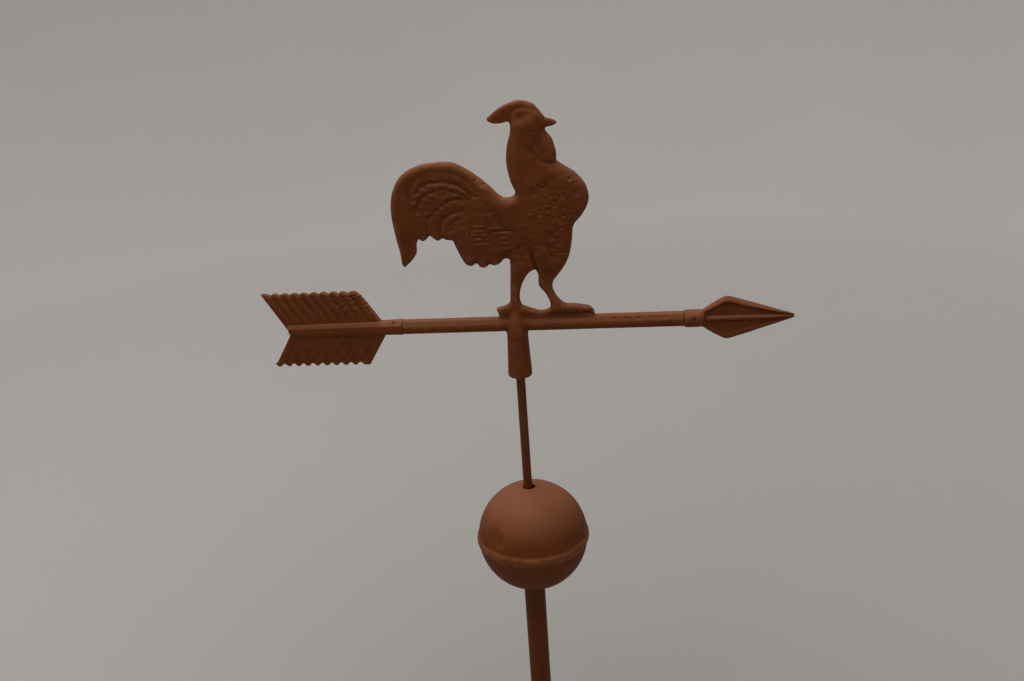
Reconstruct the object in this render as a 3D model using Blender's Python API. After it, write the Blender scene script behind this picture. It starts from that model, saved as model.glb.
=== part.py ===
"""Weathervane: a cast cockerel on an arrow, which turns on a rod above a mast with a hollow ball.

In metres, with +Z up. The origin is the middle of the mast's flat lower end. The arrow points
along +X, the cockerel's flat side faces -Y, and the vane turns about the mast's own axis.
"""

import math

import bmesh
import bpy
import numpy as np
from mathutils import Matrix
from mathutils.geometry import delaunay_2d_cdt

MM = 0.001
GAP = 0.3 * MM

# Mast and rod
MAST_DIAMETER = 20.0 * MM
MAST_LENGTH = 260.0 * MM
MAST_CHAMFER = 0.8 * MM
ROD_DIAMETER = 8.0 * MM
ROD_DEPTH_IN_MAST = 60.0 * MM
ROD_TIP_CHAMFER = 1.5 * MM

# Ball
BALL_DIAMETER = 103.0 * MM
BALL_WALL = 1.2 * MM
BALL_HOLE_CLEARANCE = 2.4 * MM
BALL_OFFSET = 1.9 * MM
BALL_LEAN = math.radians(1.0)
BEAD_HEIGHT = 8.0 * MM
BEAD_ROUNDING = 1.0 * MM

# Vane's height, hub and shaft
BALL_TO_ARROW = 158.9 * MM
HUB_LENGTH = 48.4 * MM
HUB_TOP_DIAMETER = 18.2 * MM
HUB_END_DIAMETER = 21.4 * MM
HUB_ROUNDING = 2.0 * MM
HUB_FILLET = 2.4 * MM
HUB_CROWN = 9.5 * MM
BORE_CLEARANCE = 0.5 * MM
BORE_ROOF = 4.0 * MM
SHAFT_WIDTH = 11.8 * MM
SHAFT_FRONT_FLAT = 0.2
BAR_TOP_HALF_FLAT = 0.29
SHAFT_TAIL_END = -100.0 * MM
SHAFT_HEAD_START = 142.5 * MM

# Ends of the shaft, and the pins through them
TENON_DIAMETER = 7.6 * MM
TENON_LENGTH = 15.0 * MM
PIN_DIAMETER = 3.0 * MM
PIN_SETBACK = 0.4 * MM
FLETCH_PIN_TILT = math.radians(50)
HEAD_PIN_TILT = math.radians(10)

# Fletching
FLETCH_SLEEVE_LENGTH = 17.0 * MM
FLETCH_SLEEVE_WIDTH = 12.6 * MM
FLETCH_LENGTH = 88.0 * MM
FLETCH_HALF_SPAN = 34.4 * MM
FLETCH_SWEEP = 21.5 * MM
FLETCH_UPPER_SHIFT = 1.0 * MM
FLETCH_LOWER_SHIFT = 4.4 * MM
FLETCH_RIBS = 10
FLETCH_ROOT_THICKNESS = 7.0 * MM
FLETCH_EDGE_THICKNESS = 3.6 * MM
FLETCH_RIB_DEPTH = 0.8 * MM
FLETCH_SCALLOP = 2.0 * MM
QUILL_END_WIDTH = 10.0 * MM
QUILL_FRONT_FLAT = 0.42
QUILL_SETBACK = 1.4 * MM
QUILL_SLANT = 0.2

# Arrowhead
HEAD_SLEEVE_DIAMETER = 15.2 * MM
HEAD_SLEEVE_LENGTH = 14.0 * MM
HEAD_SLEEVE_ROUNDING = 1.6 * MM
HEAD_LENGTH = 77.0 * MM
HEAD_SHOULDER = 21.0 * MM
HEAD_SPAN = 37.4 * MM
HEAD_RIM_WIDTH = 4.6 * MM
HEAD_RIM_THICKNESS = 7.0 * MM
HEAD_PANEL_THICKNESS = 3.6 * MM
HEAD_RIB_WIDTH = 5.0 * MM
HEAD_RIB_THICKNESS = 7.6 * MM
HEAD_EDGE_THICKNESS = 1.8 * MM

# Cockerel: its height above the shaft, and how finely the solid follows it
COCK_HEIGHT = 181.4 * MM
OUTLINE_STEP = 3.4 * MM
GRID_STEP = 6.7 * MM
RIM_INSET = 1.7 * MM
EDGE_HALF = 1.0 * MM
CROWN = 1.25
CLOSEST_POINTS = 1.5 * MM

# Facets round the turned pieces
BALL_FACETS = 32
ROUND_FACETS = 24
HUB_FACETS = 20
TENON_FACETS = 16
PIN_FACETS = 12
RIB_STEPS = 4

BALL_RADIUS = BALL_DIAMETER / 2
HOLE_RADIUS = ROD_DIAMETER / 2 + BALL_HOLE_CLEARANCE
BALL_SEAT = math.sqrt(BALL_RADIUS**2 - HOLE_RADIUS**2)
BALL_LIFT = HOLE_RADIUS * math.sin(BALL_LEAN)
BALL_CENTRE_Z = MAST_LENGTH + GAP + BALL_SEAT + BALL_LIFT
ARROW_Z = BALL_CENTRE_Z + BALL_RADIUS + BALL_TO_ARROW
BORE_TOP_Z = ARROW_Z - BORE_ROOF

# The cockerel's outline, its forms and its feather lines are shares of COCK_HEIGHT, in thousandths.
# X is measured forward from the mast's axis, and the second number up from the top of the shaft.
# Each stretch is a smooth curve, and the next one starts at a corner where it ends.
OUTLINE = (
    ("front toes", (363, -36), (371, 10), (364, 30), (345, 46), (285, 58), (236, 63), (205, 88)),
    ("front shank", (205, 88), (187, 118), (179, 150), (186, 178)),
    ("front thigh", (186, 178), (234, 236), (264, 295), (279, 363), (285, 419), (296, 445)),
    ("breast", (296, 445), (333, 486), (362, 546), (353, 612), (311, 670), (258, 707), (223, 732)),
    ("wattle", (223, 732), (226, 766), (212, 822), (194, 850), (180, 868), (183, 880)),
    ("lower beak", (183, 880), (203, 888), (222, 900)),
    ("upper beak", (222, 900), (200, 911), (184, 920)),
    ("comb", (184, 920), (150, 965), (128, 985), (73, 1000), (12, 985), (-35, 960), (-76, 928)),
    ("comb lobe", (-76, 928), (-68, 914), (-45, 905), (-12, 904), (18, 910), (28, 898)),
    ("nape", (28, 898), (25, 862), (8, 805), (0, 728), (14, 646), (31, 604), (30, 588), (15, 577)),
    ("saddle", (15, 577), (-14, 574), (-42, 587), (-90, 637), (-160, 696), (-236, 741), (-300, 750)),
    ("sickle", (-300, 750), (-400, 739), (-486, 697), (-537, 615), (-551, 520), (-540, 405)),
    ("sickle edge", (-540, 405), (-528, 330), (-524, 280), (-513, 264)),
    ("sickle tip", (-513, 264), (-472, 300), (-450, 335), (-446, 375), (-433, 399)),
    ("feather end", (-433, 399), (-410, 387), (-379, 413)),
    ("feather end", (-379, 413), (-346, 387), (-319, 398)),
    ("feather end", (-319, 398), (-300, 388), (-273, 386)),
    ("rump", (-273, 386), (-250, 325), (-226, 276), (-198, 259), (-169, 273)),
    ("rump feather", (-169, 273), (-156, 256), (-140, 249), (-122, 254), (-108, 267)),
    ("rump feather", (-108, 267), (-90, 259), (-62, 266), (-38, 288), (-12, 287)),
    ("back shank", (-12, 287), (-14, 230), (-20, 140), (-24, 78)),
    ("back toes", (-24, 78), (-48, 60), (-92, 47), (-84, 24), (-79, -36)),
)
LEG_GAP = (
    ("behind the front leg", (162, 42), (165, 66), (146, 112), (116, 154), (115, 205), (103, 234)),
    ("before the back leg", (103, 234), (68, 212), (34, 156), (22, 100), (30, 60)),
    ("pad", (30, 60), (60, 49), (108, 31), (137, 32), (162, 42)),
)
# Half thickness of the casting around each of these places.
FORMS = (
    ("breast", (270, 570), 46),
    ("body", (150, 480), 47),
    ("belly", (190, 370), 44),
    ("saddle", (-30, 500), 38),
    ("rump", (-150, 380), 34),
    ("tail", (-320, 560), 26),
    ("top of tail", (-330, 710), 24),
    ("back of tail", (-510, 520), 22),
    ("tail tip", (-490, 320), 15),
    ("neck", (110, 700), 40),
    ("head", (115, 870), 35),
    ("comb", (80, 970), 15),
    ("comb lobe", (-45, 930), 13),
    ("beak", (205, 900), 12),
    ("wattle", (200, 790), 26),
    ("front thigh", (215, 320), 40),
    ("front shank", (165, 170), 21),
    ("back thigh", (45, 290), 32),
    ("back shank", (0, 150), 21),
    ("front toes", (300, 35), 37),
    ("back toes", (-50, 30), 28),
    ("pad", (110, 5), 32),
)
FORM_REACH = 55
# Grooves: half width, depth, and where they run.
GROOVES = (
    ("inner edge of the sickle", 11, 6, (-132, 616), (-167, 651), (-205, 684), (-245, 703), (-299, 712),
     (-354, 709), (-402, 693), (-432, 672), (-450, 643), (-458, 602), (-463, 554), (-460, 500),
     (-454, 432)),
    ("edge of the second feather", 10, 6, (-135, 580), (-170, 604), (-201, 629), (-228, 646), (-259, 658),
     (-295, 664), (-327, 660), (-379, 654), (-404, 640), (-422, 616), (-430, 570)),
    ("edge of the fourth feather", 9, 5, (-173, 574), (-209, 580), (-242, 581), (-280, 568), (-310, 553),
     (-330, 536), (-360, 516), (-381, 492), (-388, 449)),
    ("edge of the fifth feather", 9, 6, (-214, 530), (-242, 523), (-272, 512), (-296, 498), (-317, 477),
     (-325, 442)),
    ("edge of the neck feathers", 12, 6, (103, 608), (131, 624), (163, 643), (191, 655), (218, 667),
     (245, 677), (276, 683), (306, 672)),
    ("edge of the wattle", 10, 7, (128, 783), (141, 763), (159, 745), (185, 735), (220, 731)),
    ("foot of the comb", 11, 6, (28, 940), (52, 964), (83, 970), (113, 965), (144, 953), (169, 928)),
    ("foot of the wing", 10, 6, (-186, 356), (-154, 348), (-122, 338), (-90, 328), (-53, 326), (-15, 328),
     (13, 339), (45, 355)),
    ("front of the wing", 13, 4, (-87, 538), (-67, 508), (-46, 476), (-26, 438)),
    ("between the thighs", 10, 7, (82, 350), (86, 328), (93, 295), (103, 263)),
    ("top of the thigh", 10, 3, (91, 334), (116, 357), (149, 360), (180, 347), (207, 340)),
    ("under the front toes", 8, 6, (172, 29), (210, 27), (257, 27), (303, 26), (340, 20)),
)


def clear_scene():
    for obj in list(bpy.data.objects):
        bpy.data.objects.remove(obj, do_unlink=True)


def material(name, colour, roughness, metallic):
    made = bpy.data.materials.new(name)
    made.use_nodes = True
    shader = made.node_tree.nodes["Principled BSDF"]
    shader.inputs["Base Color"].default_value = (*colour, 1.0)
    shader.inputs["Roughness"].default_value = roughness
    shader.inputs["Metallic"].default_value = metallic
    return made


def object_of(name, points, faces, finish):
    """An object whose faces point outwards."""
    mesh = bpy.data.meshes.new(name)
    mesh.from_pydata([tuple(map(float, point)) for point in points], [], faces)
    work = bmesh.new()
    work.from_mesh(mesh)
    bmesh.ops.recalc_face_normals(work, faces=work.faces)
    work.to_mesh(mesh)
    work.free()
    mesh.materials.append(finish)
    mesh.shade_smooth()
    mesh.set_sharp_from_angle(angle=math.radians(35))
    obj = bpy.data.objects.new(name, mesh)
    bpy.context.scene.collection.objects.link(obj)
    return obj


def helper(obj):
    """Marks a cutter, or a form that another object takes in."""
    obj.hide_render = True
    obj.display_type = "WIRE"
    return obj


def combine(target, other, operation):
    change = target.modifiers.new(operation.title(), "BOOLEAN")
    change.operation = operation
    change.solver = "EXACT"
    change.object = helper(other)


def lathe(name, profile, facets, finish, turn=None):
    """Turns (radius, height) points about Z. A profile that starts and ends on the axis is solid,
    and one that does neither is joined end to start."""
    points = []
    rings = []
    for radius, height in profile:
        if radius == 0:
            rings.append([len(points)] * facets)
            points.append((0, 0, height))
            continue
        rings.append(list(range(len(points), len(points) + facets)))
        for i in range(facets):
            angle = 2 * math.pi * (i + 0.5) / facets
            points.append((radius * math.cos(angle), radius * math.sin(angle), height))
    pairs = list(zip(rings, rings[1:]))
    if profile[0][0] > 0:
        pairs.append((rings[-1], rings[0]))
    faces = []
    for low, high in pairs:
        for i in range(facets):
            j = (i + 1) % facets
            corners = [low[i], low[j], high[j], high[i]]
            faces.append(list(dict.fromkeys(corners)))
    made = object_of(name, points, faces, finish)
    if turn is not None:
        made.data.transform(turn)
    return made


def loft(name, sections, finish):
    """A closed solid through rings of equally many points, with flat ends."""
    count = len(sections[0])
    points = [point for section in sections for point in section]
    faces = [list(range(count)), list(range(len(points) - count, len(points)))]
    for row in range(len(sections) - 1):
        for i in range(count):
            j = (i + 1) % count
            start = row * count
            faces.append([start + i, start + j, start + count + j, start + count + i])
    return object_of(name, points, faces, finish)


def arc(centre, radius, start, end, steps):
    """Points of a circle in a profile, from one angle to another, in degrees."""
    angles = np.radians(np.linspace(start, end, steps + 1))
    return [(centre[0] + radius * math.cos(a), centre[1] + radius * math.sin(a)) for a in angles]


def along_x(x, z):
    """Turns a lathe's axis from Z to X and moves its start there."""
    return Matrix.Translation((x, 0, z)) @ Matrix.Rotation(math.radians(90), 4, "Y")


# Mast, rod and ball


def add_mast(finish):
    radius = MAST_DIAMETER / 2
    bore = ROD_DIAMETER / 2 + GAP
    top = MAST_LENGTH
    profile = [
        (0, 0),
        (radius, 0),
        (radius, top - MAST_CHAMFER),
        (radius - MAST_CHAMFER, top),
        (bore, top),
        (bore, top - ROD_DEPTH_IN_MAST),
        (0, top - ROD_DEPTH_IN_MAST),
    ]
    return lathe("mast", profile, ROUND_FACETS, finish)


def add_rod(finish):
    radius = ROD_DIAMETER / 2
    low = MAST_LENGTH - ROD_DEPTH_IN_MAST + GAP
    high = BORE_TOP_Z - GAP
    profile = [
        (0, low),
        (radius, low),
        (radius, high - ROD_TIP_CHAMFER),
        (radius - ROD_TIP_CHAMFER, high),
        (0, high),
    ]
    return lathe("spindle_rod", profile, ROUND_FACETS, finish)


def angle_of_hole(radius):
    return math.degrees(math.acos(HOLE_RADIUS / radius))


def ball_pose():
    """The ball rests on the mast's end, pushed aside as far as its holes let it, and leans back."""
    place = Matrix.Translation((BALL_OFFSET, 0, BALL_CENTRE_Z))
    return place @ Matrix.Rotation(-BALL_LEAN, 4, "X")


def add_ball_upper(finish):
    """The upper shell. Its skirt steps out over the lower shell's rim and makes the bead."""
    outer = BALL_RADIUS
    inner = outer - BALL_WALL
    half = BEAD_HEIGHT / 2
    skirt_in = outer + GAP
    skirt_out = skirt_in + BALL_WALL
    foot = math.degrees(math.asin((half + MM) / outer))
    profile = arc((0, 0), outer, angle_of_hole(outer), foot, 9)
    profile += [
        (skirt_out - BEAD_ROUNDING / 2, half),
        (skirt_out, half - BEAD_ROUNDING),
        (skirt_out, BEAD_ROUNDING - half),
        (skirt_out - BEAD_ROUNDING / 2, -half),
        (skirt_in, -half),
        (skirt_in, half - BALL_WALL),
        (inner, half - BALL_WALL),
    ]
    profile += arc((0, 0), inner, math.degrees(math.asin(half / inner)), angle_of_hole(inner), 6)
    return lathe("ball_upper_half", profile, BALL_FACETS, finish, ball_pose())


def add_ball_lower(finish):
    """The lower shell, whose rim stands inside the upper shell's skirt."""
    outer = BALL_RADIUS
    inner = outer - BALL_WALL
    rim = BEAD_HEIGHT / 2 - BALL_WALL - GAP
    rim_out = math.degrees(math.asin(rim / outer))
    rim_in = math.degrees(math.asin(rim / inner))
    profile = arc((0, 0), outer, rim_out, -angle_of_hole(outer), 10)
    profile += arc((0, 0), inner, -angle_of_hole(inner), rim_in, 6)
    return lathe("ball_lower_half", profile, BALL_FACETS, finish, ball_pose())


# Arrow's shaft and hub


def bar_section(x, z, width, flat):
    """An eight-sided bar's section. Flat is the height of its front and back faces."""
    half = width / 2
    across = BAR_TOP_HALF_FLAT * width
    return [
        (x, -half, z + flat / 2),
        (x, -half, z - flat / 2),
        (x, -across, z - half),
        (x, across, z - half),
        (x, half, z - flat / 2),
        (x, half, z + flat / 2),
        (x, across, z + half),
        (x, -across, z + half),
    ]


def add_shaft(finish):
    """The bar between the two sleeves, with a round tenon at each end."""
    flat = SHAFT_FRONT_FLAT * SHAFT_WIDTH
    tail = SHAFT_TAIL_END + GAP
    head = SHAFT_HEAD_START - GAP
    shaft = loft("shaft", [bar_section(x, ARROW_Z, SHAFT_WIDTH, flat) for x in (tail, head)], finish)
    radius = TENON_DIAMETER / 2
    tenon = [
        (0, -TENON_LENGTH),
        (radius, -TENON_LENGTH),
        (radius, SHAFT_WIDTH),
        (0, SHAFT_WIDTH),
    ]
    for name, x, way in (("tail_tenon", tail, 1), ("head_tenon", head, -1)):
        turn = Matrix.Translation((x, 0, ARROW_Z)) @ Matrix.Rotation(math.radians(90 * way), 4, "Y")
        combine(shaft, lathe(name, tenon, TENON_FACETS, finish, turn), "UNION")
    return helper(shaft)


def hub_profile():
    top = HUB_TOP_DIAMETER / 2
    end = HUB_END_DIAMETER / 2
    low = ARROW_Z - HUB_LENGTH
    under = ARROW_Z - SHAFT_WIDTH / 2
    profile = [(0, low)]
    profile += arc((end - HUB_ROUNDING, low + HUB_ROUNDING), HUB_ROUNDING, -90, 0, 3)
    profile += [
        (top, under - 2 * HUB_FILLET),
        (top + 0.15 * HUB_FILLET, under - HUB_FILLET),
        (top + 0.7 * HUB_FILLET, under),
        (top, under + 0.2 * HUB_CROWN),
        (0.87 * top, under + 0.6 * HUB_CROWN),
        (0.5 * top, under + 0.95 * HUB_CROWN),
        (0, under + HUB_CROWN),
    ]
    return profile


def add_bore_cutter(finish):
    radius = ROD_DIAMETER / 2 + BORE_CLEARANCE
    low = ARROW_Z - HUB_LENGTH - MM
    profile = [(0, low), (radius, low), (radius, BORE_TOP_Z), (0, BORE_TOP_Z)]
    return lathe("bore", profile, TENON_FACETS, finish)


# Cockerel


def smooth_run(points, step):
    """Points about a step apart on the smooth curve through the given ones, ends included."""
    points = np.array(points, float)
    padded = np.vstack([2 * points[0] - points[1], points, 2 * points[-1] - points[-2]])
    fine = []
    t = np.linspace(0, 1, 16, endpoint=False)[:, None]
    for a, b, c, d in zip(padded, padded[1:], padded[2:], padded[3:]):
        bend = 2 * a - 5 * b + 4 * c - d
        twist = 3 * b - a - 3 * c + d
        fine.append(b + ((c - a) * t + bend * t**2 + twist * t**3) / 2)
    fine = np.vstack([*fine, points[-1:]])
    length = np.append(0, np.cumsum(np.linalg.norm(np.diff(fine, axis=0), axis=1)))
    count = max(1, round(length[-1] / step))
    at = np.linspace(0, length[-1], count + 1)
    return np.column_stack([np.interp(at, length, fine[:, 0]), np.interp(at, length, fine[:, 1])])


def outline_loop(stretches, step):
    """A closed outline in metres, each stretch without its last point, which the next one starts with."""
    share = COCK_HEIGHT / 1000
    runs = [smooth_run(np.array(points) * share, step) for _, *points in stretches]
    return np.vstack([run[:-1] for run in runs])


def closed_below(loop):
    """The outer outline, with the ends of both feet taken down to the shaft's middle."""
    depth = -SHAFT_WIDTH / 2
    front = loop[0][0]
    back = OUTLINE[-1][-1][0] * COCK_HEIGHT / 1000
    count = round((front - back) / (2 * OUTLINE_STEP))
    floor = [(x, depth) for x in np.linspace(back, front, count)]
    return np.vstack([loop, floor])


def nearest(points, loop, closed=True):
    """Distance from each point to a line of segments."""
    starts = loop if closed else loop[:-1]
    ends = np.roll(loop, -1, axis=0) if closed else loop[1:]
    way = ends - starts
    size = np.maximum((way**2).sum(axis=1), 1e-18)
    best = np.full(len(points), np.inf)
    for start, side, square in zip(starts, way, size):
        t = np.clip(((points - start) @ side) / square, 0, 1)
        best = np.minimum(best, np.linalg.norm(points - start - t[:, None] * side, axis=1))
    return best


def inside(points, loops):
    """Whether each point is inside the outer outline and outside the gap."""
    odd = np.zeros(len(points), bool)
    for loop in loops:
        for (x1, z1), (x2, z2) in zip(loop, np.roll(loop, -1, axis=0)):
            spans = (z1 > points[:, 1]) != (z2 > points[:, 1])
            if spans.any():
                cross = x1 + (points[:, 1] - z1) * (x2 - x1) / (z2 - z1 if z2 != z1 else 1)
                odd ^= spans & (points[:, 0] < cross)
    return odd


def form_half(points):
    """Half thickness of the casting, blended between the forms."""
    share = COCK_HEIGHT / 1000
    reach = (FORM_REACH * share) ** 2
    total = np.zeros(len(points))
    weight = np.zeros(len(points))
    for _, place, half in FORMS:
        near = 1 / (((points - np.array(place) * share) ** 2).sum(axis=1) + reach) ** 3
        total += near * half * share
        weight += near
    return total / weight


def half_thickness(points, loops):
    """Half thickness: crowned from a thin edge up to each form, less the grooves."""
    share = COCK_HEIGHT / 1000
    depth = np.minimum.reduce([nearest(points, loop) for loop in loops])
    form = form_half(points)
    rise = np.clip(depth / (CROWN * form), 0, 1)
    height = EDGE_HALF + (form - EDGE_HALF) * np.sqrt(1 - (1 - rise) ** 2)
    for _, width, deep, *places in GROOVES:
        line = smooth_run(np.array(places) * share, OUTLINE_STEP)
        away = nearest(points, line, closed=False) / (width * share)
        height -= deep * share * np.exp(-(away**2)) * rise
    return np.maximum(height, EDGE_HALF)


def beside(line, offset):
    """The line moved sideways."""
    way = np.gradient(line, axis=0)
    way /= np.linalg.norm(way, axis=1)[:, None]
    return line + offset * np.column_stack([-way[:, 1], way[:, 0]])


def inner_points(loops):
    """Points for the faces: a ring inside the outline, rows along the grooves, and a grid between."""
    share = COCK_HEIGHT / 1000
    candidates = [beside(loops[0], RIM_INSET), beside(loops[1], RIM_INSET)]
    for _, width, _, *places in GROOVES:
        line = smooth_run(np.array(places) * share, GRID_STEP)
        candidates.append(line)
        candidates += [beside(line, 1.5 * width * share), beside(line, -1.5 * width * share)]
    low = loops[0].min(axis=0)
    high = loops[0].max(axis=0)
    row_step = GRID_STEP * math.sqrt(0.75)
    for row, z in enumerate(np.arange(low[1], high[1], row_step)):
        xs = np.arange(low[0] + (row % 2) * GRID_STEP / 2, high[0], GRID_STEP)
        candidates.append(np.column_stack([xs, np.full(len(xs), z)]))
    rings = sum(len(points) for points in candidates[:2])
    lines = sum(len(points) for points in candidates[: 2 + 3 * len(GROOVES)])
    points = np.vstack(candidates)
    edge = np.minimum.reduce([nearest(points, loop) for loop in loops])
    within = inside(points, loops)
    kept = np.empty((0, 2))
    for i, point in enumerate(points):
        from_edge = 0.8 * RIM_INSET if i < rings else 1.5 * RIM_INSET
        apart = CLOSEST_POINTS if i < lines else 0.7 * GRID_STEP
        if not within[i] or edge[i] < from_edge:
            continue
        if len(kept) == 0 or np.linalg.norm(kept - point, axis=1).min() > apart:
            kept = np.vstack([kept, point])
    return kept


def add_cockerel(finish):
    """The figure, alike on both sides, as a relief on each side of its middle plane."""
    loops = [
        closed_below(outline_loop(OUTLINE, OUTLINE_STEP)),
        outline_loop(LEG_GAP, OUTLINE_STEP),
    ]
    points = np.vstack([*loops, inner_points(loops)])
    edges = []
    start = 0
    for loop in loops:
        count = len(loop)
        edges += [(start + i, start + (i + 1) % count) for i in range(count)]
        start += count
    flat, _, triangles, _, _, _ = delaunay_2d_cdt(points.tolist(), edges, [], 0, 1e-7)
    flat = np.array(flat)
    triangles = np.array(triangles)
    triangles = triangles[inside(flat[triangles].mean(axis=1), loops)]
    half = half_thickness(flat, loops)
    base = ARROW_Z + SHAFT_WIDTH / 2
    front = np.column_stack([flat[:, 0], -half, base + flat[:, 1]])
    back = front * (1, -1, 1)
    count = len(flat)
    faces = [list(map(int, face)) for face in triangles]
    faces += [[int(i) + count for i in face[::-1]] for face in triangles]
    faces += [[a, b, b + count, a + count] for a, b in edges]
    return object_of("cockerel_and_shaft", np.vstack([front, back]), faces, finish)


# Fletching


def fletch_vane(name, side, shift, finish):
    """One vane, above (side 1) or below (side -1) the quill: a sheared plate with slanting ribs."""
    steps = RIB_STEPS * FLETCH_RIBS
    shares = (0, 0.5, 1)
    root = SHAFT_TAIL_END - FLETCH_SLEEVE_LENGTH + shift
    height = FLETCH_HALF_SPAN
    sections = []
    for i in range(steps + 1):
        wave = -math.cos(2 * math.pi * i / RIB_STEPS)
        x = root - FLETCH_LENGTH * (1 - i / steps)
        ring = []
        for share in shares:
            thick = FLETCH_ROOT_THICKNESS + (FLETCH_EDGE_THICKNESS - FLETCH_ROOT_THICKNESS) * share
            half = thick / 2 + FLETCH_RIB_DEPTH / 2 * wave * min(1, 2 * share)
            reach = height * share + FLETCH_SCALLOP / 2 * (wave - 1) * (share == 1)
            ring.append((x - FLETCH_SWEEP * share, -half, ARROW_Z + side * reach))
        sections.append(ring + [(px, -py, pz) for px, py, pz in reversed(ring)])
    return loft(name, sections, finish)


def add_fletching(finish):
    start = SHAFT_TAIL_END - FLETCH_SLEEVE_LENGTH
    width = FLETCH_SLEEVE_WIDTH
    end = start - FLETCH_LENGTH + QUILL_SETBACK
    stations = [
        (end, QUILL_END_WIDTH),
        (start, width - 0.8 * MM),
        (SHAFT_TAIL_END - 1.0 * MM, width),
        (SHAFT_TAIL_END, width - 1.0 * MM),
    ]
    sections = [bar_section(x, ARROW_Z, w, QUILL_FRONT_FLAT * w) for x, w in stations]
    sections[0] = [(x + QUILL_SLANT * (ARROW_Z - z), y, z) for x, y, z in sections[0]]
    fletching = loft("fletching", sections, finish)
    combine(fletching, fletch_vane("upper_vane", 1, FLETCH_UPPER_SHIFT, finish), "UNION")
    combine(fletching, fletch_vane("lower_vane", -1, FLETCH_LOWER_SHIFT, finish), "UNION")
    radius = TENON_DIAMETER / 2 + GAP
    depth = TENON_LENGTH + GAP
    socket = [(0, -depth), (radius, -depth), (radius, SHAFT_WIDTH), (0, SHAFT_WIDTH)]
    turn = along_x(SHAFT_TAIL_END, ARROW_Z)
    combine(fletching, lathe("tail_socket", socket, TENON_FACETS, finish, turn), "DIFFERENCE")
    return fletching


# Arrowhead


def head_half_width(share):
    """Half the blade's height at a share of its length: a swelling shoulder, then a straight taper."""
    shoulder = HEAD_SHOULDER / HEAD_LENGTH
    start = SHAFT_WIDTH / 2 + MM
    wide = HEAD_SPAN / 2
    if share < shoulder:
        t = share / shoulder
        return start + (wide - start) * t * (1.12 - 0.12 * t)
    t = (share - shoulder) / (1 - shoulder)
    return wide + (HEAD_EDGE_THICKNESS / 2 - wide) * t


def head_blade(finish):
    """The blade: a raised rim, sunk panels and a rib down the middle, on both sides."""
    shoulder = HEAD_SHOULDER / HEAD_LENGTH
    shares = [0, shoulder / 2, shoulder * 0.85, shoulder, shoulder * 1.2]
    shares += list(np.linspace(shoulder * 1.8, 0.96, 6)) + [1]
    start = SHAFT_HEAD_START + HEAD_SLEEVE_LENGTH
    sections = []
    for share in shares:
        wide = head_half_width(share)
        fade = min(1, 0.35 + (1 - share) * 2.5)
        rim = min(HEAD_RIM_WIDTH, 0.3 * wide)
        rib = min(HEAD_RIB_WIDTH / 2, 0.3 * wide)
        upper = [
            (wide, HEAD_EDGE_THICKNESS),
            (wide - rim * 0.4, HEAD_RIM_THICKNESS * fade),
            (wide - rim * 0.8, HEAD_RIM_THICKNESS * fade),
            (wide - rim * 1.2, HEAD_PANEL_THICKNESS * fade),
            (rib, HEAD_PANEL_THICKNESS * fade),
            (rib * 0.5, HEAD_RIB_THICKNESS * fade),
        ]
        rows = upper + [(-z, thick) for z, thick in reversed(upper)]
        x = start + HEAD_LENGTH * share
        ring = [(x, -thick / 2, ARROW_Z + z) for z, thick in rows]
        sections.append(ring + [(px, -py, pz) for px, py, pz in reversed(ring)])
    return loft("blade", sections, finish)


def add_arrowhead(finish):
    radius = HEAD_SLEEVE_DIAMETER / 2
    length = HEAD_SLEEVE_LENGTH
    start = SHAFT_HEAD_START
    bend = HEAD_SLEEVE_ROUNDING
    profile = [(0, 0)]
    profile += arc((radius - bend, bend), bend, -90, 0, 3)
    profile += [
        (radius, length - MM),
        (radius - 1.5 * MM, length + 2 * MM),
        (0, length + 5 * MM),
    ]
    head = lathe("arrowhead", profile, HUB_FACETS, finish, along_x(start, ARROW_Z))
    combine(head, head_blade(finish), "UNION")
    hole = TENON_DIAMETER / 2 + GAP
    depth = TENON_LENGTH + GAP
    socket = [(0, -SHAFT_WIDTH), (hole, -SHAFT_WIDTH), (hole, depth), (0, depth)]
    cutter = lathe("head_socket", socket, TENON_FACETS, finish, along_x(start, ARROW_Z))
    combine(head, cutter, "DIFFERENCE")
    return head


# Pins


def pin_turn(x, tilt):
    """Lays a lathe's axis across the arrow at x, tilted up at the front."""
    return Matrix.Translation((x, 0, ARROW_Z)) @ Matrix.Rotation(math.radians(90) - tilt, 4, "X")


def add_pin(name, x, tilt, width, finish, holed):
    """A pin through a sleeve and the tenon in it, and the hole that it stands in."""
    reach = width / 2 - PIN_SETBACK
    radius = PIN_DIAMETER / 2
    rod = [(0, -reach), (radius, -reach), (radius, reach), (0, reach)]
    cut = radius + GAP
    hole = [(0, -width), (cut, -width), (cut, width), (0, width)]
    turn = pin_turn(x, tilt)
    cutter = lathe(name + "_hole", hole, PIN_FACETS, finish, turn)
    for target in holed:
        combine(target, cutter, "DIFFERENCE")
    return lathe(name, rod, PIN_FACETS, finish, turn)


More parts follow.
